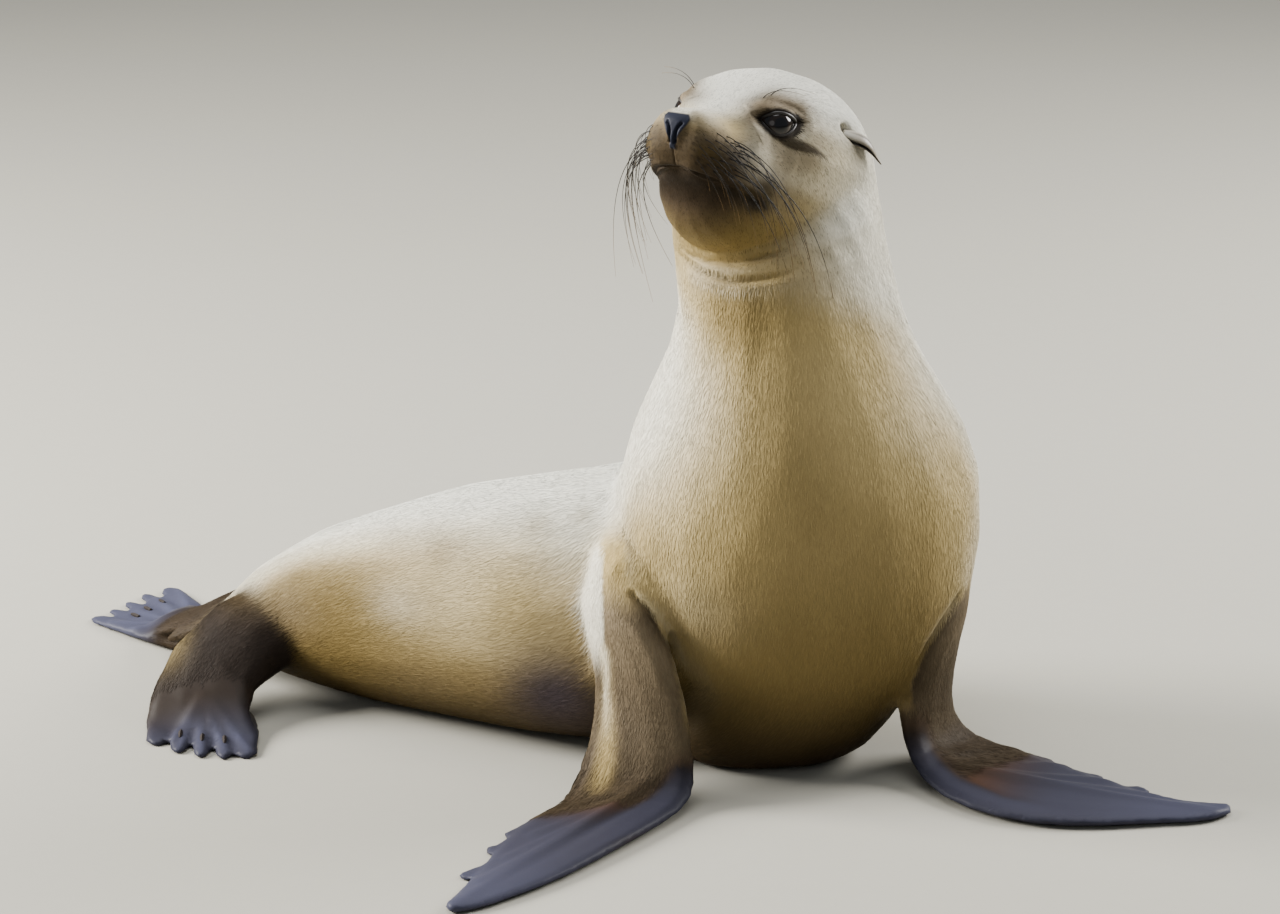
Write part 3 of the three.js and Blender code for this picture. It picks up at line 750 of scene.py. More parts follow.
def hand_is_bare(points, side):
    """1 on the bare hide of a foreflipper, and 0 where the forearm's fur runs down over its root."""
    bare = ramp(past_line(points, HAIR_ENDS[side]), -0.010, 0.018) * (1 - ramp(points[:, 2], 0.028, 0.042))
    return np.maximum(bare, leading_edge(points, side))


def beside_fold(points, side):
    """1 on the arm's side of the fold in front of the armpit, and 0 on the chest's side of it."""
    line = ARM_FOLDS[side][::-1]
    fold = np.interp(points[:, 2], line[:, 2], line[:, 0])
    past = ramp(SIDES[side] * (points[:, 0] - fold), -0.0015, 0.0025)
    return np.maximum(past, 1 - ramp(points[:, 2], 0.055, 0.075))


def coat_depth(points, region, sizes):
    """How deep the coat is: full on the body, less on the face, and none on bare hide."""
    local = in_head(points)
    face = headness(points) * ramp(local[:, 0], -0.13, -0.06)
    depth = sizes.coat_depth * (1 - THINNER_ON_FACE * face) * (1 - nose_leather(local))
    bare = np.isin(region, FLIPPERS).astype(float)
    for side in SIDES:
        on_hand = region == "foreflipper_" + side
        bare[on_hand] = hand_is_bare(points[on_hand], side)
    return depth * (1 - bare)


def rounds_of(mesh, values, rounds):
    """One number for each point, evened over the skin in so many rounds."""
    return evened(np.asarray(values, float)[:, None], edges_of(mesh), np.ones(len(values)), rounds)[:, 0]


def evened_and_kept_full(points, edges, amount, rounds):
    """Points evened over the skin, with what broad forms lose by it given back."""
    once = evened(points, edges, amount, rounds)
    return 2 * once - evened(once, edges, amount, rounds)


def build_skin(sizes):
    """One closed skin over every node of flesh, with its region of the body known at each point."""
    skin = joined_flesh()
    keep_largest_shell(skin.data)
    fair(skin, fairing_share(points_of(skin.data)), FAIRING_ROUNDS)
    points = points_of(skin.data)
    thin_out(skin, np.clip(headness(points) + 0.75 * flipperness(points), 0, 1), SKIN_TRIANGLES)
    mesh = skin.data
    split_long_edges(mesh)
    split_near_folds(mesh)
    for end in (FACE_END, SNOUT_END):
        points = points_of(mesh)
        chosen = (in_head(points)[:, 0] > end) & (headness(points) > 0.5)
        split_edges(mesh, chosen[edges_of(mesh)].all(axis=1))
    edges = edges_of(mesh)
    points = points_of(mesh)
    settles = np.clip(1 - 0.4 * headness(points) - flipperness(points), 0.05, 1)
    points = evened(points, edges, settles, ROUNDS_AFTER_SPLITS)
    for side, line in ARM_FOLDS.items():
        gap, along = near_line(points, line[:CUT_FOLD[side]])
        by_fold = (1 - ramp(gap, 0.4 * EASED_BY_FOLDS, EASED_BY_FOLDS)) * (1 - 0.7 * ramp(along, 0.7, 1.0))
        points = evened(points, edges, by_fold, ROUNDS_BY_FOLDS)
    head = headness(points)
    behind_head = ramp(head, 0.0, 0.15) * ramp(1 - head, 0.0, 0.45)
    points = evened_and_kept_full(points, edges, behind_head, ROUNDS_BEHIND_HEAD)
    set_points(mesh, points)
    region = nearest_nodes(points)
    normals = unit(evened(normals_of(mesh), edges, np.ones(len(points)), ROUNDS_UNDER_COAT))
    depth = rounds_of(mesh, coat_depth(points, region, sizes), ROUNDS_UNDER_COAT)
    depth *= 1 - THINNER_ON_LIMBS * rounds_of(mesh, np.isin(region, LIMBS), BROAD_ROUNDS)
    points = points - depth[:, None] * normals
    points = open_eyes(points)
    points = sculpt_body(sculpt_head(points, normals), normals)
    points[:, 2] = np.maximum(points[:, 2], FLOOR_GAP)
    set_points(mesh, points)
    mesh.polygons.foreach_set("use_smooth", np.ones(len(mesh.polygons), bool))
    return skin, region


# ---------------------------------------------------------------- the coat's lie and its markings


ROUNDS_OF_LIE = 12
LIE_ELSEWHERE = np.array([-0.7, 0.1, -0.7])  # which way the hairs point where no place above reaches


def lie_of_coat(points, normals, edges):
    """The way that the hairs point at each place, along the skin."""
    lie = np.zeros_like(points)
    local = in_head(points)
    for place, way, reach in LIE_ON_HEAD:
        for turn in {1.0, 1.0 if place[1] == 0 else -1.0}:
            sign = np.array([1, turn, 1])
            weight = spot(local, np.array(place) * sign * MM, reach * MM)
            lie += weight[:, None] * unit(turned_from_head(np.array(way) * sign))
    for place, way, reach in LIE_ON_BODY:
        weight = spot(points, np.array(place) * MM, reach * MM)
        lie += weight[:, None] * unit(np.array(way, float))
    lie += 1e-4 * LIE_ELSEWHERE
    lie = unit(evened(unit(lie), edges, np.ones(len(points)), ROUNDS_OF_LIE))
    return unit(lie - (lie * normals).sum(axis=1)[:, None] * normals)


def paint(colours, mask, colour):
    """Lays a colour over others where the mask is high."""
    colours += mask[:, None] * (np.array(colour[:3]) - colours)


def paint_spots(colours, points, spots, within, tints):
    """Lays soft spots of colour over others: each has its place, reach, share and colour."""
    for place, reach, share, colour in spots:
        here = spot(points, np.array(place) * MM, np.array(reach) * MM)
        paint(colours, within * share * here, getattr(tints, colour))


# The way that the underside of each part faces.
CHEST_FACES = np.array([0.15, -0.95, -0.26])
BELLY_FACES = np.array([-0.08, -0.35, -0.93])
THROAT_FACES = 0.35 * FORWARD - 0.94 * CROWN


def underside(points, normals):
    """1 where the body faces the way its belly does, and less than 0 on its back."""
    trunk = ramp(-points[:, 0], -0.02, 0.10) * (1 - ramp(points[:, 2], 0.24, 0.30))
    head = ramp(in_head(points)[:, 2], -0.21, -0.09) * ramp(points[:, 2], 0.36, 0.46)
    faces = CHEST_FACES + trunk[:, None] * (BELLY_FACES - CHEST_FACES)
    faces = faces + head[:, None] * (THROAT_FACES - faces)
    return (normals * unit(faces)).sum(axis=1)


BODY_TINTS = [  # what is darker, paler or more golden than what is round it: place, reach, share and colour
    # This first one is partly painted shade below the throat's folds.
    ((100, -85, 421), (36, 50, 32), 0.60, "tan_brown"),
    ((15, -80, 212), (36, 45, 45), 0.72, "gold"),
    ((18, -85, 208), (38, 45, 36), 0.45, "tan_brown"),
    ((50, -105, 240), (60, 60, 80), 0.35, "gold"),
    ((290, -60, 270), (42, 60, 85), 0.68, "gold"),
    ((62, -112, 165), (42, 50, 34), 0.10, "pale"),
    ((-78, -35, 135), (64, 50, 56), 0.80, "gold"),
    ((-70, -40, 130), (44, 50, 40), 0.22, "tan_brown"),
    ((-195, 5, 122), (26, 60, 20), 0.22, "pale"),
    ((-245, 30, 112), (34, 60, 26), 0.35, "tan_brown"),
    ((-150, 14, 178), (32, 40, 14), 0.40, "brown"),
    ((-196, 41, 168), (24, 40, 9), 0.25, "brown"),
    ((-296, 68, 94), (44, 48, 32), 0.65, "tan_brown"),
    ((-299, 70, 92), (36, 45, 26), 0.50, "brown"),
    ((-169, -11, 56), (60, 60, 30), 0.35, "brown"),
    ((-56, -62, 62), (50, 50, 44), 0.92, "plum"),
    ((-290, 80, 124), (9, 9, 9), 0.45, "tan_brown"),
    ((-159, 7, 167), (14, 14, 14), 0.35, "tan_brown"),
    ((-71, -6, 204), (13, 13, 13), 0.45, "tan_brown"),
    ((-31, -9, 213), (10, 10, 10), 0.45, "tan_brown"),
]
DARK_WRIST = {"right": 0.44, "left": 0.62}  # share of dark brown at each wrist
SLATE_TOES = {"right": (0.10, 0.75), "left": (-0.05, 0.65)}  # where slate begins, and where it is full


def paint_arm(colours, points, part, side, tints):
    """A brown arm with painted shade at the armpit's fold, that ends in slate hide with a rusty root."""
    height = points[:, 2]
    limb = ramp(part["forearm_" + side] + part["foreflipper_" + side], 0.05, 0.95)
    arm = limb * beside_fold(points, side)
    down = 1 - ramp(height, 0.050, 0.225)
    paint(colours, arm * (1 - ramp(height, 0.190, 0.240)), tints.gold)
    paint(colours, arm * ramp(down, 0.02, 0.40), tints.brown)
    paint(colours, DARK_WRIST[side] * arm * ramp(down, 0.50, 1.0), tints.dark_brown)
    paint(colours, 0.70 * arm * (1 - ramp(height, 0.024, 0.042)), tints.dark_brown)
    # Painted shade along the fold in front of the armpit, on the arm's side of it.
    gap, along = near_line(points, ARM_FOLDS[side])
    paint(colours, 0.75 * arm * bump(gap, 0, 0.011) * ramp(along, 0.05, 0.3), tints.dark_brown)
    bare = limb * hand_is_bare(points, side)
    start, first, _ = HANDS[side]
    out = (points - start) @ (first - start) / ((first - start) @ (first - start))
    slate = np.maximum(ramp(out, 0.13, 0.50), leading_edge(points, side) * ramp(-height, -0.045, -0.012))
    paint(colours, bare, tints.umber)
    paint(colours, 0.60 * bare * (1 - slate) * (1 - leading_edge(points, side)), tints.rust)
    paint(colours, bare * slate, tints.slate)
    paint(colours, 0.30 * bare * ramp(out, 0.45, 1.0), tints.slate_light)


def paint_foot(colours, points, part, side, tints):
    """A dark leg and a slate flipper with paler lines along its toes, darker on the right side."""
    height = points[:, 2]
    leg = ramp(part["leg_" + side] + part["hind_flipper_" + side], 0.02, 0.70)
    paint(colours, leg, tints.dark_brown)
    upper = ramp(part["leg_" + side], 0.05, 0.5) * ramp(height, 0.070, 0.110)
    paint(colours, 0.30 * upper, tints.tan_brown)
    # The right leg is darker low down: partly its own umber, partly painted shade under the body.
    if side == "right":
        paint(colours, leg * (1 - ramp(height, 0.062, 0.100)), tints.umber)
    blade = ramp(part["hind_flipper_" + side], 0.05, 0.6)
    paint(colours, blade, tints.umber)
    start, first, last = FEET[side]
    toward = (first + last) / 2 - start
    out = (points - start) @ toward / (toward @ toward)
    toes = ramp(part["hind_flipper_" + side], 0.3, 0.9) * ramp(out, *SLATE_TOES[side])
    paint(colours, toes, tints.slate)
    if side == "left":
        paint(colours, 0.30 * toes, tints.slate_light)
    for line in fan(start, first, last, DIGITS):
        gap, along = near_line(points, line)
        paint(colours, 0.3 * toes * bump(gap, 0, 0.004) * ramp(along, 0.1, 0.4), tints.slate_light)


def paint_body(colours, points, normals, part, tints):
    """The gold of the chest and belly, the brown low down, and the dark arms, legs and flippers."""
    below = underside(points, normals)
    height = points[:, 2]
    trunk = ramp(-points[:, 0], 0.0, 0.12) * (1 - ramp(height, 0.25, 0.30))
    paint(colours, 0.45 * trunk * (1 - ramp(normals[:, 2], 0.45, 0.95)), tints.gold)
    high = ramp(height, 0.30, 0.40)
    paint(colours, 0.92 * ramp(below + 0.16 * high, 0.04, 0.84), tints.gold)
    middle = np.interp(height, (0.25, 0.43), (0.150, 0.105))
    band = bump(points[:, 0], middle, 0.046) * ramp(-points[:, 1], 0.02, 0.07)
    paint(colours, 0.42 * band * ramp(height, 0.20, 0.28) * (1 - ramp(height, 0.40, 0.45)), tints.tan_brown)
    paint(colours, 0.80 * ramp(below, 0.38, 0.95) * (1 - ramp(height, 0.12, 0.36)), tints.tan_brown)
    # Darker towards the floor: partly the belly's own brown, partly painted shade where the body meets the
    # floor.
    paint(colours, 0.95 * (1 - ramp(height, 0.03, 0.17)) * ramp(below, -0.45, 0.45), tints.tan_brown)
    paint(colours, 0.92 * (1 - ramp(height, 0.010, 0.120)) * ramp(below, -0.15, 0.55), tints.dark_brown)
    paint(colours, 0.80 * spot(points, (0.100, -0.090, 0.435), (0.075, 0.075, 0.042)), tints.gold)
    paint(colours, 0.45 * spot(points, (0.100, -0.090, 0.440), (0.065, 0.060, 0.030)), tints.tan_brown)
    rump = ramp(-points[:, 0], 0.02, 0.30) * ramp(normals @ BELLY_FACES, -0.95, -0.05)
    paint(colours, 0.92 * rump, tints.gold)
    paint(colours, 0.90 * ramp(rump, 0.30, 1.0), tints.tan_brown)
    # Darker still low on the trunk and by the hind legs: partly their own brown, partly painted shade.
    paint(colours, 0.75 * trunk * (1 - ramp(height, 0.045, 0.100)), tints.tan_brown)
    paint(colours, 0.65 * trunk * (1 - ramp(height, 0.010, 0.075)), tints.dark_brown)
    paint(colours, 0.9 * ramp(-points[:, 0], 0.33, 0.41) * (1 - ramp(height, 0.05, 0.12)), tints.dark_brown)
    paint_spots(colours, points, BODY_TINTS, 1.0, tints)
    for side in SIDES:
        paint_arm(colours, points, part, side, tints)
        paint_foot(colours, points, part, side, tints)
        # A faint painted highlight on the chest's lip beside the fold, where its edge catches the light.
        gap, along = near_line(points, ARM_FOLDS[side])
        rim = bump(gap, 0.0060, 0.0030) * (1 - beside_fold(points, side)) * ramp(along, 0.02, 0.2)
        paint(colours, 0.15 * rim * (1 - ramp(along, 0.5, 0.9)), tints.pale)
    # The arm's outer edge: partly pale and golden coat, partly painted highlight, pale above and golden
    # lower down.
    lit_outer_edge = part["forearm_right"] * ramp(-points[:, 0], 0.0115, 0.0185)
    paint(colours, 0.92 * ramp(lit_outer_edge, 0.2, 0.8) * ramp(height, 0.085, 0.130), tints.pale)
    gap, along = near_line(points, PALE_LIT_EDGE_OF_ARM)
    paint(colours, 0.70 * bump(gap, 0, 0.0062 + 0.003 * along) * ramp(1 - along, 0, 0.35), tints.gold)
    paint(colours, 0.70 * bump(gap, 0, 0.0045) * ramp(1 - along, 0.45, 0.95), tints.pale)
    # Painted shade in the groove behind the arm, between it and the trunk.
    paint(colours, 0.5 * bump(near_line(points, BACK_OF_ARM)[0], 0, 0.006), tints.dark_brown)
    # Golden hair on the right leg's outer edge, partly a painted highlight where it catches the light.
    lit_outer_leg = spot(points, (-0.415, 0.095, 0.055), (0.020, 0.035, 0.022))
    paint(colours, 0.4 * lit_outer_leg * part["leg_right"], tints.gold)
    # In each throat fold: painted shade with the fur parted there, and a faint painted highlight on the
    # ridge beside it.
    for line in THROAT_FOLDS:
        gap, along = near_line(points, smooth_line(line, 40))
        fade = ramp(along, 0.1, 0.35) * ramp(1 - along, 0, 0.3)
        paint(colours, 0.8 * fade * bump(gap, 0, 0.0036), tints.tan_brown)
        paint(colours, 0.2 * fade * bump(gap, 0.0070, 0.0026), tints.pale)


FACE_TINTS = [  # as on the body, but in the head's axes and alike on both sides
    ((-104, 70, 8), (27, 26, 20), 0.45, "gold"),
    ((-106, 70, 6), (24, 26, 18), 0.48, "brown"),
    ((-80, 57, -16), (19, 20, 16), 0.45, "gold"),
    ((-80, 57, -18), (17, 20, 15), 0.45, "brown"),
    ((-135, 80, -2), (22, 26, 16), 0.35, "gold"),
    ((-158, 86, -4), (16, 24, 16), 0.30, "brown"),
    ((-88, 60, -44), (24, 24, 17), 0.45, "brown"),
    ((-67, 53, -37), (16, 16, 13), 0.80, "dark_brown"),
    ((-68, 40, 29), (18, 14, 10), 0.35, "brown"),
    ((-57, 21, 26), (12, 12, 9), 0.28, "brown"),
    ((-56, 44, 3), (9, 9, 8), 0.35, "tan_brown"),
    ((-1, 19, 5), (9, 7, 6), 0.50, "tan_brown"),
    ((-15, 31, -2), (12, 10, 6), 0.50, "brown"),
    ((-7, 28, -18), (13, 10, 6), 0.35, "tan_brown"),
    ((-17, 10, -45), (18, 30, 9), 0.65, "lip"),
    ((-26, 12, -55), (20, 26, 10), 0.45, "dark_brown"),
]
FACE_LINES = [  # darker lines, alike on both sides: their places, share, reach and colour
    (millimetres((-60, 36, 29), (-78, 44, 36), (-97, 55, 33)), 0.92, 0.0145, "brown"),
    (millimetres((-52, 37, 17), (-62, 42, 19)), 0.90, 0.0090, "brown"),
    (millimetres((-66, 46, 2), (-84, 55, -8), (-102, 68, -10)), 0.55, 0.0110, "brown"),
    (millimetres((-143, 72, 18), (-152, 80, 10)), 0.50, 0.0100, "tan_brown"),
]


def paint_head(colours, points, tints):
    """The dark muzzle and chin, the pale bridge and crown, and the brown round the eyes."""
    near = np.flatnonzero(in_head(points)[:, 0] > -0.25)
    near = near[points[near, 2] > 0.38]
    local = in_head(points[near])
    ahead, aside, up = local.T
    side = np.abs(aside)
    level = local * (1, 0, 1)
    mirrored = np.column_stack([ahead, side, up])
    own = colours[near]
    on_head = headness(points[near])
    paint(own, on_head * 0.85 * ramp(up, 0.0, 0.04), tints.crown)
    paint(own, on_head * 0.85 * ramp(-up, 0.022, 0.07) * ramp(ahead, -0.150, -0.07), tints.gold)
    paint(own, 0.85 * spot(level, (-0.062, 0, -0.078), (0.056, 1, 0.032)), tints.tan_brown)
    muzzle = ramp(ahead, -0.074, -0.030) * ramp(-up, -0.016, 0.004)
    paint(own, on_head * 0.9 * muzzle, tints.muzzle)
    pads = spot(level, (-0.015, 0, -0.020), (0.036, 1, 0.019))
    paint(own, on_head * 0.75 * pads, tints.dark_brown)
    side_of_bridge = spot(mirrored, (-0.042, 0.026, 0.006), (0.030, 0.016, 0.014))
    paint(own, on_head * 0.75 * side_of_bridge, tints.gold)
    bridge = spot(local, (-0.024, 0, 0.018), (0.034, 0.013, 0.012)) * (1 - ramp(-up, -0.012, 0.0))
    paint(own, on_head * 0.36 * bridge, tints.crown)
    paint(own, on_head * 0.16 * ramp(ahead, -0.060, -0.030) * ramp(up, -0.010, 0.006), tints.gold)
    above_nose = spot(level, (0, 0, 0.011), (0.012, 1, 0.006)) * ramp(side, 0.005, 0.013)
    paint(own, on_head * 0.55 * above_nose, tints.tan_brown)
    chin = spot(level, (-0.028, 0, -0.052), (0.044, 1, 0.019))
    paint(own, on_head * 0.95 * chin, tints.muzzle)
    paint(own, on_head * 0.88 * spot(level, (-0.022, 0, -0.050), (0.038, 1, 0.016)), tints.dark_brown)
    paint_spots(own, mirrored, FACE_TINTS, on_head, tints)
    gap, along = near_line(local, smooth_line(MOUTH, 90))
    under = 1 - ramp(up - mouth_height(along), -0.002, 0.001)
    paint(own, on_head * bump(gap, 0, 0.0044) * 0.9, tints.lip)
    # Darker just below the mouth: partly the lower lip's own dark, partly painted shade under the upper
    # lip.
    paint(own, on_head * bump(gap, 0, 0.0085) * under * 0.8, tints.lip)
    for sign in SIDES.values():
        for root, *_ in whisker_roots():
            place = root * (1, sign, 1)
            away = np.linalg.norm((local - place)[:, 1:], axis=1)
            dot = bump(away, 0, 0.0013) * ramp(ahead, -0.06, -0.05)
            paint(own, 0.75 * dot * (np.abs(ahead - place[0]) < 0.012) * (aside * sign > 0), tints.lip)
    for turn in (np.asarray, other_side):
        corner = turn(MOUTH[-1])
        paint(own, 0.90 * spot(local, corner + (0.006, 0, -0.001), (0.012, 0.02, 0.008)), tints.lip)
        for line, share, reach, colour in FACE_LINES:
            gap, _ = near_line(local, turn(line))
            paint(own, share * bump(gap, 0, reach), getattr(tints, colour))
        streak, run = near_line(local, turn(TEAR_STREAK))
        half = 0.0048 * np.sin(math.pi * (0.22 + 0.76 * run))
        paint(own, 0.90 * (1 - ramp(streak - half, -0.0016, 0.0020)), tints.dark_brown)
    for eye in SIDES:
        middle, axes = eye_axes(eye)
        seen = (points[near] - middle) @ axes.T
        by_eye = seen[:, 2] > 0
        outside = np.where(by_eye, outside_lids(seen[:, :2]), 1.0)
        corners = ramp(np.abs(seen[:, 0]), 0.009, 0.016)
        lid = by_eye * (1 - ramp(outside, 0.006, 0.016)) * ramp(seen[:, 1], -0.006, 0.006)
        paint(own, 0.75 * lid, tints.brown)
        paint(own, 0.97 * (1 - ramp(outside - 0.0022 * corners, 0.0026, 0.0054)), tints.lip)
    paint(own, nose_leather(local), tints.nose)
    colours[near] = own


def markings(points, normals, part, tints):
    """The colour of each place: pale, silvery where it faces up, and then all that lies over that."""
    colours = np.tile(np.array(tints.pale[:3]), (len(points), 1))
    # Partly the coat's own grey and partly painted sky light: silver where the skin faces up.
    paint(colours, 0.7 * ramp(normals[:, 2], 0.1, 0.9), tints.silver)
    paint_body(colours, points, normals, part, tints)
    paint_head(colours, points, tints)
    return colours


# ---------------------------------------------------------------- materials


def group_socket(tree, name, kind, way, default=None):
    """Adds an input or an output to a node group."""
    socket = tree.interface.new_socket(name=name, in_out=way, socket_type=kind)
    if default is not None:
        socket.default_value = default
    return socket


def node(tree, kind, **settings):
    """Adds a node, with values for its sockets or, where it has none by that name, for its own settings."""
    made = tree.nodes.new(kind)
    for name, value in settings.items():
        if name in made.inputs:
            made.inputs[name].default_value = value
        else:
            setattr(made, name, value)
    return made


def grain_group():
    """A shared effect: colour that varies, coarse and fine, and the height that goes with it."""
    if "Grain" in bpy.data.node_groups:
        return bpy.data.node_groups["Grain"]
    tree = bpy.data.node_groups.new("Grain", "ShaderNodeTree")
    group_socket(tree, "Colour", "NodeSocketColor", "INPUT", (0.5, 0.5, 0.5, 1))
    group_socket(tree, "Coarse Scale", "NodeSocketFloat", "INPUT", 20.0)
    group_socket(tree, "Coarse Amount", "NodeSocketFloat", "INPUT", 0.1)
    group_socket(tree, "Fine Scale", "NodeSocketFloat", "INPUT", 400.0)
    group_socket(tree, "Fine Amount", "NodeSocketFloat", "INPUT", 0.1)
    group_socket(tree, "Colour", "NodeSocketColor", "OUTPUT")
    group_socket(tree, "Height", "NodeSocketFloat", "OUTPUT")
    came = tree.nodes.new("NodeGroupInput")
    gone = tree.nodes.new("NodeGroupOutput")
    place = tree.nodes.new("ShaderNodeTexCoord")
    join = tree.links.new
    brightness = None
    heights = []
    for size in ("Coarse", "Fine"):
        noise = node(tree, "ShaderNodeTexNoise", Detail=3.0, Roughness=0.6)
        join(place.outputs["Object"], noise.inputs["Vector"])
        join(came.outputs[size + " Scale"], noise.inputs["Scale"])
        centred = node(tree, "ShaderNodeMath", operation="SUBTRACT")
        centred.inputs[1].default_value = 0.5
        join(noise.outputs["Fac"], centred.inputs[0])
        swing = node(tree, "ShaderNodeMath", operation="MULTIPLY_ADD")
        join(centred.outputs[0], swing.inputs[0])
        join(came.outputs[size + " Amount"], swing.inputs[1])
        swing.inputs[2].default_value = 1.0
        heights.append(noise.outputs["Fac"])
        if brightness is None:
            brightness = swing.outputs[0]
        else:
            both = node(tree, "ShaderNodeMath", operation="MULTIPLY")
            join(brightness, both.inputs[0])
            join(swing.outputs[0], both.inputs[1])
            brightness = both.outputs[0]
    tinted = node(tree, "ShaderNodeVectorMath", operation="SCALE")
    join(came.outputs["Colour"], tinted.inputs[0])
    join(brightness, tinted.inputs["Scale"])
    join(tinted.outputs[0], gone.inputs["Colour"])
    join(heights[1], gone.inputs["Height"])
    return tree


def new_material(name, **constants):
    """A material with its constant values on the shader's own sockets."""
    material = bpy.data.materials.new(name)
    material.use_nodes = True
    shader = material.node_tree.nodes["Principled BSDF"]
    for socket, value in constants.items():
        shader.inputs[socket.replace("_", " ")].default_value = value
    return material, material.node_tree, shader


def grained(tree, shader, colour, coarse, fine, bump_height=0.0, strength=0.4):
    """Puts the shared grain over a colour, or over the colours stored on the mesh under a name."""
    grain = tree.nodes.new("ShaderNodeGroup")
    grain.node_tree = grain_group()
    for name, value in zip(("Coarse Scale", "Coarse Amount", "Fine Scale", "Fine Amount"), coarse + fine):
        grain.inputs[name].default_value = value
    if isinstance(colour, str):
        stored = node(tree, "ShaderNodeAttribute", attribute_name=colour)
        tree.links.new(stored.outputs["Color"], grain.inputs["Colour"])
    else:
        grain.inputs["Colour"].default_value = colour
    tree.links.new(grain.outputs["Colour"], shader.inputs["Base Color"])
    if bump_height:
        relief = node(tree, "ShaderNodeBump", Strength=strength, Distance=bump_height)
        tree.links.new(grain.outputs["Height"], relief.inputs["Height"])
        tree.links.new(relief.outputs["Normal"], shader.inputs["Normal"])
    return grain


def skin_material():
    """Short fur and bare hide on one skin: its roughness comes from how bare the place is."""
    material, tree, shader = new_material("sea lion skin", Specular_IOR_Level=0.07)
    grained(tree, shader, "marking", (38.0, 0.14), (900.0, 0.3), 0.0002, 0.3)
    bare = node(tree, "ShaderNodeAttribute", attribute_name="bare")
    rough = node(tree, "ShaderNodeMapRange")
    rough.inputs["To Min"].default_value = 0.66
    rough.inputs["To Max"].default_value = 0.46
    tree.links.new(bare.outputs["Fac"], rough.inputs["Value"])
    tree.links.new(rough.outputs["Result"], shader.inputs["Roughness"])
    return material


HIDE = {"Roughness": 0.42, "Specular_IOR_Level": 0.4, "Coat_Weight": 0.1, "Coat_Roughness": 0.25}
HORN = {"Roughness": 0.7, "Specular_IOR_Level": 0.12}
WET = {"Roughness": 0.08, "Specular_IOR_Level": 0.3, "Coat_Weight": 0.35, "Coat_Roughness": 0.02}
MATERIALS = {  # the shader's constants, the coarse and fine grain, and the relief's height and strength
    "short coat": ({"Roughness": 0.6, "Specular_IOR_Level": 0.08}, (38.0, 0.08), (420.0, 0.20)),
    "wet eye": (WET, (120.0, 0.3), (900.0, 0.4)),
    "lid rims": (HIDE, (160.0, 0.3), (1400.0, 0.35), 0.0002, 0.35),
    "ears": (HIDE, (160.0, 0.3), (1400.0, 0.35), 0.0002, 0.35),
    "whiskers": ({"Roughness": 0.5, "Specular_IOR_Level": 0.2}, (60.0, 0.3), (700.0, 0.3)),
    "dark nails": (HORN, (220.0, 0.6), (1500.0, 0.4), 0.0002, 0.3),
    "studio floor": ({"Roughness": 0.85, "Specular_IOR_Level": 0.2}, (1.2, 0.05), (60.0, 0.04)),
}
NAIL_COLOUR = (0.022, 0.017, 0.015, 1)
FLOOR_COLOUR = (0.35, 0.337, 0.290, 1)


def material_of(name, colour="marking"):
    """One of the simpler materials: the shared grain over a colour, or over the markings on the mesh."""
    constants, *grain = MATERIALS[name]
    material, tree, shader = new_material(name, **constants)
    grained(tree, shader, colour, *grain)
    return material


# ---------------------------------------------------------------- the coat

EVENED_FACING = 12  # rounds by which the way that the tufts face is evened where the body's forms are broad
TUFT_RIDGE = 0.07  # how far a tuft's middle stands above its sides, as a share of its width
TUFT_TURN = 0.22  # how far its sides are shaded as if they faced away from each other
TUFT_TILT = 0.055  # how far one tuft is shaded as if it faced another way than the next
TUFT_SHADES = np.array([0.93, 0.98, 0.98, 1.0, 1.05])  # from the root to the tip
LIE_SPREAD = 0.10  # how far a tuft strays from the coat's lie
STRAY_TUFTS = 0.03  # share of the tufts that stand out from the rest
STRAY_LIFT = 0.9
DARK_HAIRS = 0.14  # share of the tufts on the head that are darker than the rest
DARKER_BY = 0.45
SMALL_ON_HEAD = 0.55  # how much smaller the tufts are in each place
SMALL_ON_FACE = 0.45
SMALL_ON_LIMBS = 0.45
SMALL_BY_HIDE = 0.5
DENSER_ON_FACE = 1.3
TUFT_MIDDLE = 0.42  # how far along a tuft its widest place is
SHORTER_IF_SMALL = 0.62  # what the smallest tufts lack of the length, width and lift of the largest
NARROWER_IF_SMALL = 0.52
LOWER_IF_SMALL = 0.55
TUFT_TRIANGLES = np.array([(0, 1, 3), (0, 3, 2), (0, 2, 1), (4, 3, 1), (4, 2, 3), (4, 1, 2)])
TUFT_CORNERS = 5
TUFT_SUNK = 0.00025
TUFT_PATCH = 0.0028  # how far across a tuft's patch is on its map
PATCH_CORNERS = np.array([(0, -0.5), (-0.5, 0), (0.5, 0), (0, 0.1), (0, 0.5)]) * TUFT_PATCH
MAP_COLUMNS, MAP_ROWS = 3, 2
MAP_MARGIN = 0.02


def coat_parts(region, points, bare):
    """Which part of the coat each point of the skin belongs to, and how many tufts each part has."""
    local = in_head(points)
    on_head = np.isin(region, ["head", "muzzle", "lower_jaw", "nose"])
    face = (local[:, 0] > -0.105) & on_head
    back_of_head = on_head & ~face
    chest = region == "chest"
    front = points[:, 1] < 0.0
    return {
        "coat_face": (face, 33_000),
        "coat_crown": (back_of_head, 20_000),
        "coat_neck": (region == "neck", 26_000),
        "coat_chest_front": (chest & front, 33_000),
        "coat_chest_back": (chest & ~front, 33_000),
        "coat_belly": (region == "belly", 33_000),
        "coat_rump": (np.isin(region, ["hindquarters", "tail"] + LEGS), 26_000),
        "coat_arms": (np.isin(region, FOREARMS + FOREFLIPPERS) & (bare < 0.7), 22_000),
    }


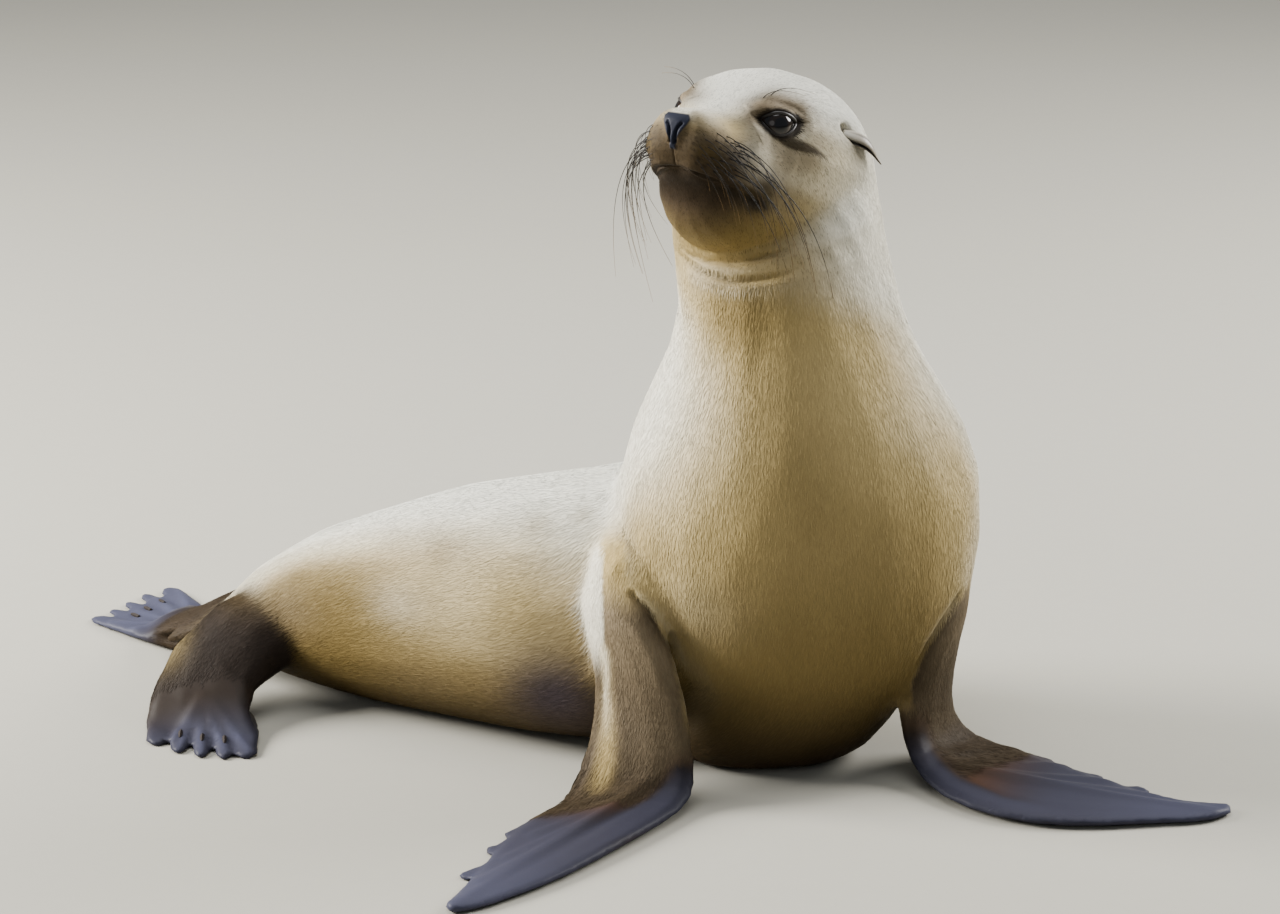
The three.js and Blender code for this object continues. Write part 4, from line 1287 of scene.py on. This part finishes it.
def tuft_roots(points, triangles, density, count, random):
    """Places spread evenly over some triangles, each as a triangle and its three weights."""
    corners = points[triangles]
    first, second = corners[:, 1] - corners[:, 0], corners[:, 2] - corners[:, 0]
    area = np.linalg.norm(np.cross(first, second), axis=1) / 2
    total = np.cumsum(area * density[triangles].mean(axis=1))
    picks = (np.arange(count) + random.random(count)) / count * total[-1]
    chosen = np.minimum(np.searchsorted(total, picks), len(triangles) - 1)
    u, v = random.random((2, count))
    over = u + v > 1
    u[over], v[over] = 1 - u[over], 1 - v[over]
    return triangles[chosen], np.stack([1 - u - v, u, v], axis=1)


def map_places(points, normals):
    """Each root's place on an unwrap of its part of the skin, laid out as six sides."""
    low, high = points.min(axis=0), points.max(axis=0)
    side = np.abs(normals).argmax(axis=1)
    facing = (np.take_along_axis(normals, side[:, None], 1)[:, 0] > 0).astype(int)
    within = (points - low) / np.maximum(high - low, 1e-6)
    others = np.array([(1, 2), (0, 2), (0, 1)])[side]
    place = np.take_along_axis(within, others, 1) * (1 - 2 * MAP_MARGIN) + MAP_MARGIN
    return (place + np.stack([side, facing], axis=1)) / (MAP_COLUMNS, MAP_ROWS)


def on_skin(skin, places):
    """The nearest place on the skin to each of some places, and the way that the skin faces there."""
    found = [skin["tree"].find_nearest(place) for place in places.tolist()]
    triangles = [triangle for _, _, triangle, _ in found]
    return np.array([place for place, *_ in found]), skin["facing"][triangles]


def make_tufts(name, skin, triangles, count, sizes, random):
    """One piece of the coat: closed five-pointed tufts, joined, with the skin's markings and lie."""
    owners, weights = tuft_roots(skin["points"], triangles, skin["thick"], count, random)

    def at_root(values):
        return np.einsum("ij,ij...->i...", weights, values[owners])

    root = at_root(skin["points"])
    up = unit(at_root(skin["normals"]))
    small = at_root(skin["small"])
    along = at_root(skin["lie"]) + random.normal(0, LIE_SPREAD, (count, 3))
    along = unit(along - (along * up).sum(axis=1)[:, None] * up)
    length = sizes.tuft_length * (1 - SHORTER_IF_SMALL * small) * random.uniform(0.72, 1.25, count)
    width = sizes.tuft_width * (1 - NARROWER_IF_SMALL * small) * random.uniform(0.8, 1.2, count)
    stray = 1 + STRAY_LIFT * (random.random(count) < STRAY_TUFTS) * random.random(count)
    lift = sizes.coat_depth * (1 - LOWER_IF_SMALL * small) * random.uniform(0.38, 0.66, count) * stray
    middle, middle_up = on_skin(skin, root + (TUFT_MIDDLE * length)[:, None] * along)
    tip, tip_up = on_skin(skin, root + length[:, None] * along)
    across = np.cross(up, along)
    aside = (0.5 * width)[:, None] * across
    tilt = random.normal(0, TUFT_TILT, (count, 3))
    turned = TUFT_TURN * across
    facing = np.stack([up, middle_up - turned, middle_up + turned, middle_up, tip_up], axis=1)
    middle = middle + (TUFT_MIDDLE * lift)[:, None] * middle_up
    corners = np.stack([
        root - TUFT_SUNK * up,
        middle - aside,
        middle + aside,
        middle + (TUFT_RIDGE * width)[:, None] * middle_up,
        tip + lift[:, None] * tip_up,
    ], axis=1)
    faces = (np.arange(count)[:, None, None] * TUFT_CORNERS + TUFT_TRIANGLES).reshape(-1, 3)
    piece = new_object(name, corners.reshape(-1, 3), faces)
    piece.data.normals_split_custom_set_from_vertices(unit(facing + tilt[:, None, :]).reshape(-1, 3))
    dark = (random.random(count) < DARK_HAIRS) * at_root(skin["speckled"])
    shade = random.normal(1.0, 0.05, count) * (1 - DARKER_BY * dark)
    shades = np.clip(shade[:, None] * TUFT_SHADES, 0.4, 1.4)
    colours = at_root(skin["marking"])[:, None, :] * shades[:, :, None]
    store_colour(piece.data, "marking", colours.reshape(-1, 3))
    layer = piece.data.uv_layers.new(name="OFBake")
    patches = map_places(root, up)[:, None, :] + PATCH_CORNERS
    corner_of = np.empty(len(piece.data.loops), int)
    piece.data.loops.foreach_get("vertex_index", corner_of)
    layer.data.foreach_set("uv", patches.reshape(-1, 2)[corner_of].ravel().astype(np.float32))
    return piece


def finish_piece(piece, slot, material, *replaced):
    """Gives a piece its material and its body, and hides the nodes it stands for; the slot is not used."""
    piece.data.materials.clear()
    piece.data.materials.append(material)
    if replaced:
        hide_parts(*replaced)
    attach(piece, "root")
    return piece


# ---------------------------------------------------------------- eyes and lids

EYE_RINGS = 60
EYE_SIDES = 72
CORNEA_RISE = 0.0009
CORNEA_REACH = 0.55
PUPIL = (0.002, 0.002, 0.003)
RIM_OF_IRIS = (0.006, 0.005, 0.005)
WHITE_OF_EYE = (0.05, 0.038, 0.034)
RIM_STEPS = 96
RIM_SIDES = 10
RIM_OUT = 0.0002  # how far the rim lies outside the opening's edge
RIM_RISE = 0.0006  # how far its middle stands above the eyeball

def lofted(rings, closed_ends=True):
    """Points and triangles of a tube through rings with the same number of points each."""
    rings = np.asarray(rings)
    count, around = rings.shape[:2]
    points = rings.reshape(-1, 3)
    i, j = np.meshgrid(np.arange(count - 1), np.arange(around), indexing="ij")
    a = i * around + j
    b = i * around + (j + 1) % around
    faces = np.concatenate([np.stack([a, b, b + around], -1), np.stack([a, b + around, a + around], -1)])
    faces = faces.reshape(-1, 3)
    if closed_ends:
        ends = np.array([rings[0].mean(axis=0), rings[-1].mean(axis=0)])
        first, last = len(points), len(points) + 1
        turn = np.arange(around)
        after = (turn + 1) % around
        base = (count - 1) * around
        caps = [np.stack([after, turn, np.full(around, first)], -1),
                np.stack([base + turn, base + after, np.full(around, last)], -1)]
        points = np.vstack([points, ends])
        faces = np.vstack([faces] + caps)
    return points, faces


def circle(steps):
    """The cosines and sines of even steps round a circle."""
    angle = np.linspace(0, 2 * math.pi, steps, endpoint=False)
    return np.cos(angle), np.sin(angle)


def tube(line, radii, sides=8, flat=1.0):
    """Points and triangles of a tube along a line, thinner in one direction where flat is less than 1."""
    line = np.asarray(line)
    along = unit(np.gradient(line, axis=0))
    first = unit(np.cross(along[0], (0.3, 0.2, 0.9)))
    cos, sin = circle(sides)
    rings = []
    for place, way, radius in zip(line, along, radii):
        first = unit(first - (first @ way) * way)
        second = np.cross(way, first)
        rings.append(place + radius * (cos[:, None] * first + flat * sin[:, None] * second))
    return lofted(rings)


def make_eyeball(side, colours):
    """An eyeball with a low cornea over a dark iris and a wide pupil. Angles are from its axis."""
    middle, axes = eye_axes(side)
    steps = np.linspace(0.02, math.pi - 0.02, EYE_RINGS)
    cos, sin = circle(EYE_SIDES)
    bulge = EYE_RADIUS + CORNEA_RISE * np.exp(-((steps / CORNEA_REACH) ** 4))
    wide, deep = bulge * np.sin(steps), bulge * np.cos(steps)
    rings = [np.stack([w * cos, w * sin, np.full(EYE_SIDES, d)], -1) for w, d in zip(wide, deep)]
    local, faces = lofted(rings)
    faces = faces[:, ::-1] if SIDES[side] > 0 else faces
    piece = new_object("eyeball_" + side, local @ axes + middle, faces)
    turn = np.arctan2(np.hypot(local[:, 0], local[:, 1]), local[:, 2])
    spokes = 0.5 + 0.5 * np.sin(np.arctan2(local[:, 1], local[:, 0]) * 46 + 9 * turn)
    tint = np.tile(np.array(colours.iris[:3]), (len(local), 1)) * (0.7 + 0.6 * spokes)[:, None]
    paint(tint, 1 - ramp(turn, 0.30, 0.36), PUPIL)
    paint(tint, ramp(turn, 0.56, 0.66), RIM_OF_IRIS)
    paint(tint, ramp(turn, 0.80, 0.95), WHITE_OF_EYE)
    store_colour(piece.data, "marking", tint)
    return piece


def make_lid_rim(side, sizes):
    """The bare dark rim of the lids, thicker above, lying on the eyeball."""
    middle, axes = eye_axes(side)
    line = lid_line(RIM_STEPS)
    outward = unit(line - line.mean(axis=0))
    line = line + RIM_OUT * outward
    reach = EYE_RADIUS + RIM_RISE
    depth = np.sqrt(np.maximum(reach**2 - (line**2).sum(axis=1), 1e-8))
    path = np.column_stack([line, depth]) @ axes + middle
    path = np.vstack([path, path[:2]])
    above = ramp(line[:, 1], -0.002, 0.006)
    radius = sizes.lid_rim * (0.78 + 0.42 * above)
    points, faces = tube(path, np.append(radius, radius[:2]), RIM_SIDES)
    return new_object("lid_rim_" + side, points, faces)


# ---------------------------------------------------------------- ears

EAR_ROOT = MM * np.array([-147, 70, 19])
EAR_BEND = MM * np.array([-161, 86, 14])
EAR_TIP = MM * np.array([-178, 95, 0])
EAR_WIDTH = 0.0066
EAR_WALL = 0.0016
EAR_OPENS = np.array([0.52, 0.54, -0.66])
EAR_CURL = 2.80  # how far round each way the roll goes
EAR_FLAT = 0.62


def make_ear(side, colours):
    """A small ear rolled into a cone that is open along its lower edge and points back."""
    sign = np.array([1, SIDES[side], 1])
    line = from_head(smooth_line([EAR_ROOT * sign, EAR_BEND * sign, EAR_TIP * sign], 26))
    along = unit(np.gradient(line, axis=0))
    opening = turned_from_head(EAR_OPENS * sign)
    t = np.linspace(0, 1, len(line))
    swell = 0.62 + 0.5 * np.sin(math.pi * np.clip(t * 1.25, 0, 1)) ** 0.8
    radius = EAR_WIDTH * swell * (1 - t**2.6) + 0.0008
    arc = np.linspace(-EAR_CURL, EAR_CURL, 22)
    rings = []
    for place, way, r in zip(line, along, radius):
        down = unit(opening - (opening @ way) * way)
        out = np.cross(way, down)
        curl = 1 - 0.18 * (np.abs(arc) / arc[-1]) ** 3
        wall = min(EAR_WALL, 0.45 * r)

        def ring(reach, angles):
            cos, sin = np.cos(angles)[:, None], np.sin(angles)[:, None]
            return place + reach[:, None] * (-cos * down + EAR_FLAT * sin * out)

        outer = ring(r * curl, arc)
        inner = ring((r * curl - wall)[::-1], arc[::-1])
        rings.append(np.vstack([outer, inner]))
    points, faces = lofted(rings)
    faces = faces if SIDES[side] > 0 else faces[:, ::-1]
    piece = new_object("ear_roll_" + side, points, faces)
    inside = np.zeros((len(line), 2 * len(arc)))
    inside[:, len(arc):] = 1
    edge = np.abs(np.tile(np.concatenate([arc, arc[::-1]]), (len(line), 1))) / arc[-1]
    length = np.tile(t[:, None], (1, 2 * len(arc)))
    tint = np.tile(np.array(colours.crown[:3]), (inside.size, 1))
    paint(tint, 0.55 + 0.25 * ramp(length.ravel(), 0.0, 0.6), colours.brown)
    groove = bump(edge.ravel(), 0.52, 0.07) * bump(length.ravel(), 0.5, 0.35)
    shaded = np.maximum(np.maximum(inside.ravel(), ramp(edge.ravel(), 0.86, 0.97)), groove)
    paint(tint, 0.9 * shaded, colours.lip)
    paint(tint, 0.50 * ramp(length.ravel(), 0.80, 1.0), colours.dark_brown)
    store_colour(piece.data, "marking", np.vstack([tint, tint[:1], tint[-1:]]))
    return piece


# ---------------------------------------------------------------- whiskers

WHISKER_ROWS = [  # a row's height on the pad, its whiskers, the longest's share, and how they stand out
    (-0.004, 4, 0.55, 1.4),
    (-0.009, 6, 0.85, 1.3),
    (-0.014, 6, 1.0, 1.2),
    (-0.019, 6, 1.0, 1.1),
    (-0.024, 5, 0.90, 1.0),
    (-0.029, 4, 0.70, 0.9),
]
BROW_WHISKERS = ((-70, 34, 35), (-76, 37, 36.5))
WHISKER_SIDES = 5
WHISKER_BEND = 0.42  # where along its reach a whisker turns down
WHISKER_TAPER = 0.82
WHISKER_SUNK = 0.0015
WHISKER_ROOT_COLOUR = (0.008, 0.006, 0.005)
WHISKER_TIP_COLOUR = (0.22, 0.13, 0.045)


def whisker_roots():
    """Each whisker's root near the left pad, how far back it is, and its row's share and stand."""
    for row, (height, count, longest, stand) in enumerate(WHISKER_ROWS):
        for k in range(count):
            back = (k + 0.5 * (row % 2)) / count
            root = np.array([-0.006 - 0.034 * back, 0.018 + 0.021 * back, height - 0.003 * back])
            yield root, back, longest, stand


def hanging_line(root, start, end, steps=16):
    """A whisker's line: it sets out one way, and bends over towards where its tip hangs."""
    t = np.linspace(0, 1, steps)[:, None]
    reach = np.linalg.norm(end)
    turn = root + WHISKER_BEND * reach * unit(np.asarray(start, float))
    return (1 - t) ** 2 * root + 2 * t * (1 - t) * turn + t**2 * (root + end)


def make_whiskers(side, tree, sizes, random):
    """The whiskers of one side, joined: six rows on the pad, and two on the brow."""
    sign = np.array([1, SIDES[side], 1])
    points, faces, tips = [], [], []
    base = 0

    def add(root, start, end, thick):
        nonlocal base
        line = hanging_line(root, start, end)
        t = np.linspace(0, 1, len(line))
        made, joined = tube(from_head(line), thick * (1 - WHISKER_TAPER * t), WHISKER_SIDES)
        points.append(made)
        faces.append(joined + base)
        tips.append(np.concatenate([np.repeat(t, WHISKER_SIDES), [0, 1]]))
        base += len(made)

    for guess, back, longest, stand in whisker_roots():
        place, normal, *_ = tree.find_nearest(from_head(guess * sign).tolist())
        root = in_head(np.array(place)) - WHISKER_SUNK * (np.array(normal) @ HEAD_AXES.T)
        scale = longest * (0.25 + 0.75 * back) * random.uniform(0.7, 1.12)
        start = np.array([0.05 - 0.6 * back, 0.9 * stand, -0.30 + 0.15 * random.normal()]) * sign
        end = np.array([-0.62 - 0.12 * random.random(), 0.30 * stand + 0.08 * random.normal(), -0.74])
        thick = sizes.whisker_thickness * (0.6 + 0.4 * back)
        add(root, start, sizes.whisker_length * scale * unit(end) * sign, thick)
    for brow in BROW_WHISKERS:
        place, *_ = tree.find_nearest(from_head(MM * np.array(brow) * sign).tolist())
        root = in_head(np.array(place))
        end = MM * np.array([-10, 34 + 8 * random.random(), 6 + 10 * random.random()]) * sign
        add(root, (0.1, 0.75 * sign[1], 0.9), end, 0.7 * sizes.whisker_thickness)
    piece = new_object("whiskers_" + side, np.vstack(points), np.vstack(faces))
    along = np.concatenate(tips)
    tint = np.tile(np.array(WHISKER_ROOT_COLOUR), (len(along), 1))
    paint(tint, 0.8 * ramp(along, 0.60, 1.0), WHISKER_TIP_COLOUR)
    store_colour(piece.data, "marking", tint)
    return piece


# ---------------------------------------------------------------- the studio

CAMERA_AT = (0.0166, -2.939, 1.215)
CAMERA_TILT = math.radians(72)
CAMERA_LENS = 100.0
LAMPS = {  # place, the point it faces, size across, watts, colour
    "key": ((-3.1, 0.5, 1.55), (0.1, 0.0, 0.25), 1.6, 470.0, (1.0, 0.975, 0.93)),
    "far side": ((2.8, 1.2, 1.7), (0.1, 0.0, 0.3), 1.8, 225.0, (1.0, 0.98, 0.95)),
    "overhead": ((0.0, 0.3, 3.2), (0.0, 0.0, 0.0), 3.0, 90.0, (1.0, 1.0, 1.0)),
    "front": ((-1.2, -3.4, 1.8), (0.1, 0.0, 0.25), 2.2, 10.0, (1.0, 0.98, 0.95)),
}
ROOM_COLOUR = (0.80, 0.86, 0.92, 1)
ROOM_STRENGTH = 0.30
FLOOR_HALF = 20.0


def add_lamp(name, place, facing, size, watts, colour):
    data = bpy.data.lights.new(name, "AREA")
    data.shape = "DISK"
    data.size = size
    data.energy = watts
    data.color = colour
    lamp = bpy.data.objects.new(name, data)
    bpy.context.scene.collection.objects.link(lamp)
    lamp.location = place
    away = Vector(facing) - Vector(place)
    lamp.rotation_euler = away.to_track_quat("-Z", "Y").to_euler()


def add_camera():
    data = bpy.data.cameras.new("camera")
    data.lens = CAMERA_LENS
    data.sensor_width = 36.0
    data.sensor_fit = "HORIZONTAL"
    data.clip_end = 100.0
    camera = bpy.data.objects.new("camera", data)
    bpy.context.scene.collection.objects.link(camera)
    camera.location = CAMERA_AT
    camera.rotation_euler = (CAMERA_TILT, 0, 0)
    bpy.context.scene.camera = camera


# ---------------------------------------------------------------- what a user can change


def length(name, description, default):
    return FloatProperty(name=name, description=description, default=default, min=0.0,
                         unit="LENGTH", subtype="DISTANCE", precision=5)


def colour(name, description, default):
    return FloatVectorProperty(name=name, description=description, default=default + (1.0,), size=4,
                               min=0.0, max=1.0, subtype="COLOR")


class SeaLionSizes(bpy.types.PropertyGroup):
    coat_depth: length("Coat Depth", "How far the coat stands above the skin on the body", 0.0010)
    tuft_length: length("Tuft Length", "How long a tuft on the body is", 0.0090)
    tuft_width: length("Tuft Width", "How wide a tuft on the body is", 0.0010)
    lid_rim: length("Lid Rim", "Half the thickness of the bare rim of the lids", 0.0013)
    whisker_length: length("Whisker Length", "How far the longest whiskers reach", 0.200)
    whisker_thickness: length("Whisker Thickness", "Half the thickness of a whisker at its root", 0.0006)
    seed: IntProperty(name="Seed", description="Which random spread of tufts is made", default=7)


class SeaLionColours(bpy.types.PropertyGroup):
    pale: colour("Pale", "The sides of the body and neck", (0.74, 0.70, 0.57))
    # Laid where the skin faces up: partly the coat's own grey, partly painted sky light.
    silver: colour("Silver", "The top of the back", (0.66, 0.67, 0.61))
    crown: colour("Crown", "The top of the head and the bridge of the nose", (0.65, 0.64, 0.56))
    gold: colour("Gold", "The front of the chest and the flanks", (0.45, 0.330, 0.125))
    tan_brown: colour("Tan", "Low on the chest and belly", (0.140, 0.096, 0.029))
    brown: colour("Brown", "The arms and the patches round the eyes", (0.160, 0.122, 0.074))
    muzzle: colour("Muzzle", "The sides of the muzzle and the chin", (0.066, 0.045, 0.026))
    dark_brown: colour("Dark Brown", "The wrists, ankles and whisker pads", (0.026, 0.017, 0.009))
    umber: colour("Umber", "Where the bare flippers begin", (0.017, 0.012, 0.009))
    rust: colour("Rust", "The roots of the foreflippers", (0.080, 0.038, 0.020))
    plum: colour("Plum", "The patch behind the arm", (0.058, 0.046, 0.058))
    lip: colour("Lip", "The lips, lids and tear streak", (0.012, 0.009, 0.007))
    nose: colour("Nose", "The leather of the nose", (0.013, 0.015, 0.025))
    slate: colour("Slate", "The bare flippers", (0.030, 0.030, 0.044))
    slate_light: colour("Light Slate", "The ridges of the toes", (0.075, 0.080, 0.130))
    iris: colour("Iris", "The iris of the eyes", (0.012, 0.007, 0.004))


# ---------------------------------------------------------------- operators


class SEALION_OT_skin(bpy.types.Operator):
    """Makes the skin over every node of flesh, and stores its markings and the coat's lie on it"""

    bl_idname = "sealion.skin"
    bl_label = "Skin"

    def execute(self, context):
        skin, region = build_skin(context.scene.sea_lion_sizes)
        mesh = skin.data
        points, edges = points_of(mesh), edges_of(mesh)
        everywhere = np.ones(len(points))
        normals = unit(evened(normals_of(mesh), edges, everywhere, ROUNDS_AFTER_SPLITS))
        normals = unit(evened(normals, edges, everywhere, BROAD_ROUNDS))
        limbs = np.stack([region == name for name in LIMBS], axis=1).astype(float)
        part = dict(zip(LIMBS, evened(limbs, edges, everywhere, BROAD_ROUNDS).T))
        tint = markings(points, normals, part, context.scene.sea_lion_colours)
        lie = lie_of_coat(points, normals, edges)
        leather = nose_leather(in_head(points)) * headness(points)
        bare = np.maximum(leather, ramp(sum(part[name] for name in HIND_FLIPPERS), 0.2, 0.9))
        for side in SIDES:
            limb = ramp(part["forearm_" + side] + part["foreflipper_" + side], 0.1, 0.7)
            bare = np.maximum(bare, limb * hand_is_bare(points, side))
        store_colour(mesh, "marking", tint)
        store_number(mesh, "bare", bare)
        store_number(mesh, "part_of_body", [FLESH.index(name) for name in region])
        lie_store = mesh.attributes.new("lie", "FLOAT_VECTOR", "POINT")
        lie_store.data.foreach_set("vector", lie.astype(np.float32).ravel())
        finish_piece(skin, "coat", skin_material(), *FLESH)
        return {"FINISHED"}


class SEALION_OT_coat(bpy.types.Operator):
    """Covers the skin with short tufts, smallest on the face and feet, in pieces by part of the body"""

    bl_idname = "sealion.coat"
    bl_label = "Coat"

    def execute(self, context):
        mesh = bpy.data.objects["skin"].data
        points, edges = points_of(mesh), edges_of(mesh)
        normals = unit(evened(normals_of(mesh), edges, np.ones(len(points)), 1))
        broad = np.clip(1 - headness(points) - flipperness(points), 0, 1)
        for line in THROAT_FOLDS + list(ARM_FOLDS.values()):
            broad *= ramp(near_line(points, line)[0], 0.006, 0.014)
        normals = unit(evened(normals, edges, broad, EVENED_FACING))
        stored = {name: np.empty(len(points) * size, np.float32)
                  for name, size in (("marking", 4), ("lie", 3), ("bare", 1), ("part_of_body", 1))}
        mesh.attributes["marking"].data.foreach_get("color", stored["marking"])
        mesh.attributes["lie"].data.foreach_get("vector", stored["lie"])
        for name in ("bare", "part_of_body"):
            mesh.attributes[name].data.foreach_get("value", stored[name])
        region = np.array(FLESH)[stored["part_of_body"].astype(int)]
        local = in_head(points)
        face = headness(points) * ramp(local[:, 0], -0.16, -0.05)
        limbs = rounds_of(mesh, np.isin(region, FOREARMS + LEGS), 8)
        small = SMALL_ON_HEAD * headness(points) + SMALL_ON_FACE * face
        small = np.clip(small + SMALL_ON_LIMBS * limbs + SMALL_BY_HIDE * stored["bare"], 0, 1)
        thick = (1 - ramp(stored["bare"], 0.05, 0.65)) * ramp(points[:, 2], 0.004, 0.012)
        thick *= 1 + DENSER_ON_FACE * face
        for side in SIDES:
            middle, axes = eye_axes(side)
            seen = (points - middle) @ axes.T
            front = (seen[:, 2] > 0) & (np.linalg.norm(seen, axis=1) < 2 * EYE_RADIUS)
            thick[front] *= ramp(outside_lids(seen[front, :2]), 0.0022, 0.0040)
        gap, _ = near_line(local, smooth_line(MOUTH, 60))
        thick *= 1 - 0.95 * bump(gap, 0, 0.0018) * (face > 0)
        triangles = triangles_of(mesh)
        skin = {
            "points": points,
            "normals": normals,
            "small": small,
            "thick": thick + 1e-9,
            "lie": stored["lie"].reshape(-1, 3),
            "marking": stored["marking"].reshape(-1, 4)[:, :3],
            "speckled": headness(points) * ramp(local[:, 0], -0.17, -0.12),
            "tree": BVHTree.FromPolygons(points.tolist(), triangles.tolist()),
            "facing": unit(normals[triangles].mean(axis=1)),
        }
        material = material_of("short coat")
        random = np.random.default_rng(context.scene.sea_lion_sizes.seed)
        for name, (chosen, count) in coat_parts(region, points, stored["bare"]).items():
            own = triangles[chosen[triangles[:, 0]]]
            count = count
            piece = make_tufts(name, skin, own, count, context.scene.sea_lion_sizes, random)
            finish_piece(piece, "coat", material)
        return {"FINISHED"}


class SEALION_OT_eyes(bpy.types.Operator):
    """Makes the eyeballs and the bare rims of their lids"""

    bl_idname = "sealion.eyes"
    bl_label = "Eyes"

    def execute(self, context):
        wet = material_of("wet eye")
        rim = material_of("lid rims", tuple(context.scene.sea_lion_colours.lip))
        for side in SIDES:
            finish_piece(make_eyeball(side, context.scene.sea_lion_colours), "eye", wet, "eye_" + side)
            finish_piece(make_lid_rim(side, context.scene.sea_lion_sizes), "hide", rim)
        return {"FINISHED"}


class SEALION_OT_ears(bpy.types.Operator):
    """Makes the small rolled ears"""

    bl_idname = "sealion.ears"
    bl_label = "Ears"

    def execute(self, context):
        material = material_of("ears")
        for side in SIDES:
            finish_piece(make_ear(side, context.scene.sea_lion_colours), "hide", material, "ear_" + side)
        return {"FINISHED"}


class SEALION_OT_whiskers(bpy.types.Operator):
    """Sets the whiskers in the muzzle's pads and on the brows"""

    bl_idname = "sealion.whiskers"
    bl_label = "Whiskers"

    def execute(self, context):
        mesh = bpy.data.objects["skin"].data
        tree = BVHTree.FromPolygons(points_of(mesh).tolist(), triangles_of(mesh).tolist())
        sizes = context.scene.sea_lion_sizes
        material = material_of("whiskers")
        for index, side in enumerate(SIDES):
            random = np.random.default_rng(sizes.seed + 1 + index)
            finish_piece(make_whiskers(side, tree, sizes, random), "nail", material)
        return {"FINISHED"}


class SEALION_OT_nails(bpy.types.Operator):
    """Gives the nails of the hind flippers their worn, dark horn"""

    bl_idname = "sealion.nails"
    bl_label = "Nails"

    def execute(self, context):
        material = material_of("dark nails", NAIL_COLOUR)
        for name in NAILS:
            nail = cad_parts[name]
            nail.data.materials.clear()
            nail.data.materials.append(material)
        return {"FINISHED"}


class SEALION_OT_stage(bpy.types.Operator):
    """Sets up the camera, the soft lamps and the plain pale floor"""

    bl_idname = "sealion.stage"
    bl_label = "Studio"

    def execute(self, context):
        add_camera()
        for name, lamp in LAMPS.items():
            add_lamp(name, *lamp)
        world = bpy.data.worlds.new("studio")
        world.use_nodes = True
        room = world.node_tree.nodes["Background"]
        room.inputs["Color"].default_value = ROOM_COLOUR
        room.inputs["Strength"].default_value = ROOM_STRENGTH
        context.scene.world = world
        corners = FLOOR_HALF * np.array([(-1, -1, 0), (1, -1, 0), (1, 1, 0), (-1, 1, 0)])
        floor = new_object("floor", corners, [(0, 1, 2, 3)], smooth=False)
        floor.data.materials.append(material_of("studio floor", FLOOR_COLOUR))
        return {"FINISHED"}


OPERATORS = (
    SEALION_OT_skin,
    SEALION_OT_coat,
    SEALION_OT_eyes,
    SEALION_OT_ears,
    SEALION_OT_whiskers,
    SEALION_OT_nails,
    SEALION_OT_stage,
)


class SEALION_PT_panel(bpy.types.Panel):
    """The sizes, colours and steps of the sea lion"""

    bl_label = "Sea Lion"
    bl_space_type = "VIEW_3D"
    bl_region_type = "UI"
    bl_category = "Sea Lion"

    def draw(self, context):
        for group in (context.scene.sea_lion_sizes, context.scene.sea_lion_colours):
            box = self.layout.box()
            for name in group.__annotations__:
                box.prop(group, name)
        for operator in OPERATORS:
            self.layout.operator(operator.bl_idname)


CLASSES = (SeaLionSizes, SeaLionColours) + OPERATORS + (SEALION_PT_panel,)


def register():
    for made in CLASSES:
        bpy.utils.register_class(made)
    bpy.types.Scene.sea_lion_sizes = PointerProperty(type=SeaLionSizes)
    bpy.types.Scene.sea_lion_colours = PointerProperty(type=SeaLionColours)


def unregister():
    del bpy.types.Scene.sea_lion_sizes
    del bpy.types.Scene.sea_lion_colours
    for made in reversed(CLASSES):
        bpy.utils.unregister_class(made)


def main():
    register()
    for operator in OPERATORS:
        group, name = operator.bl_idname.split(".")
        getattr(getattr(bpy.ops, group), name)()


if __name__ == "__main__":
    main()
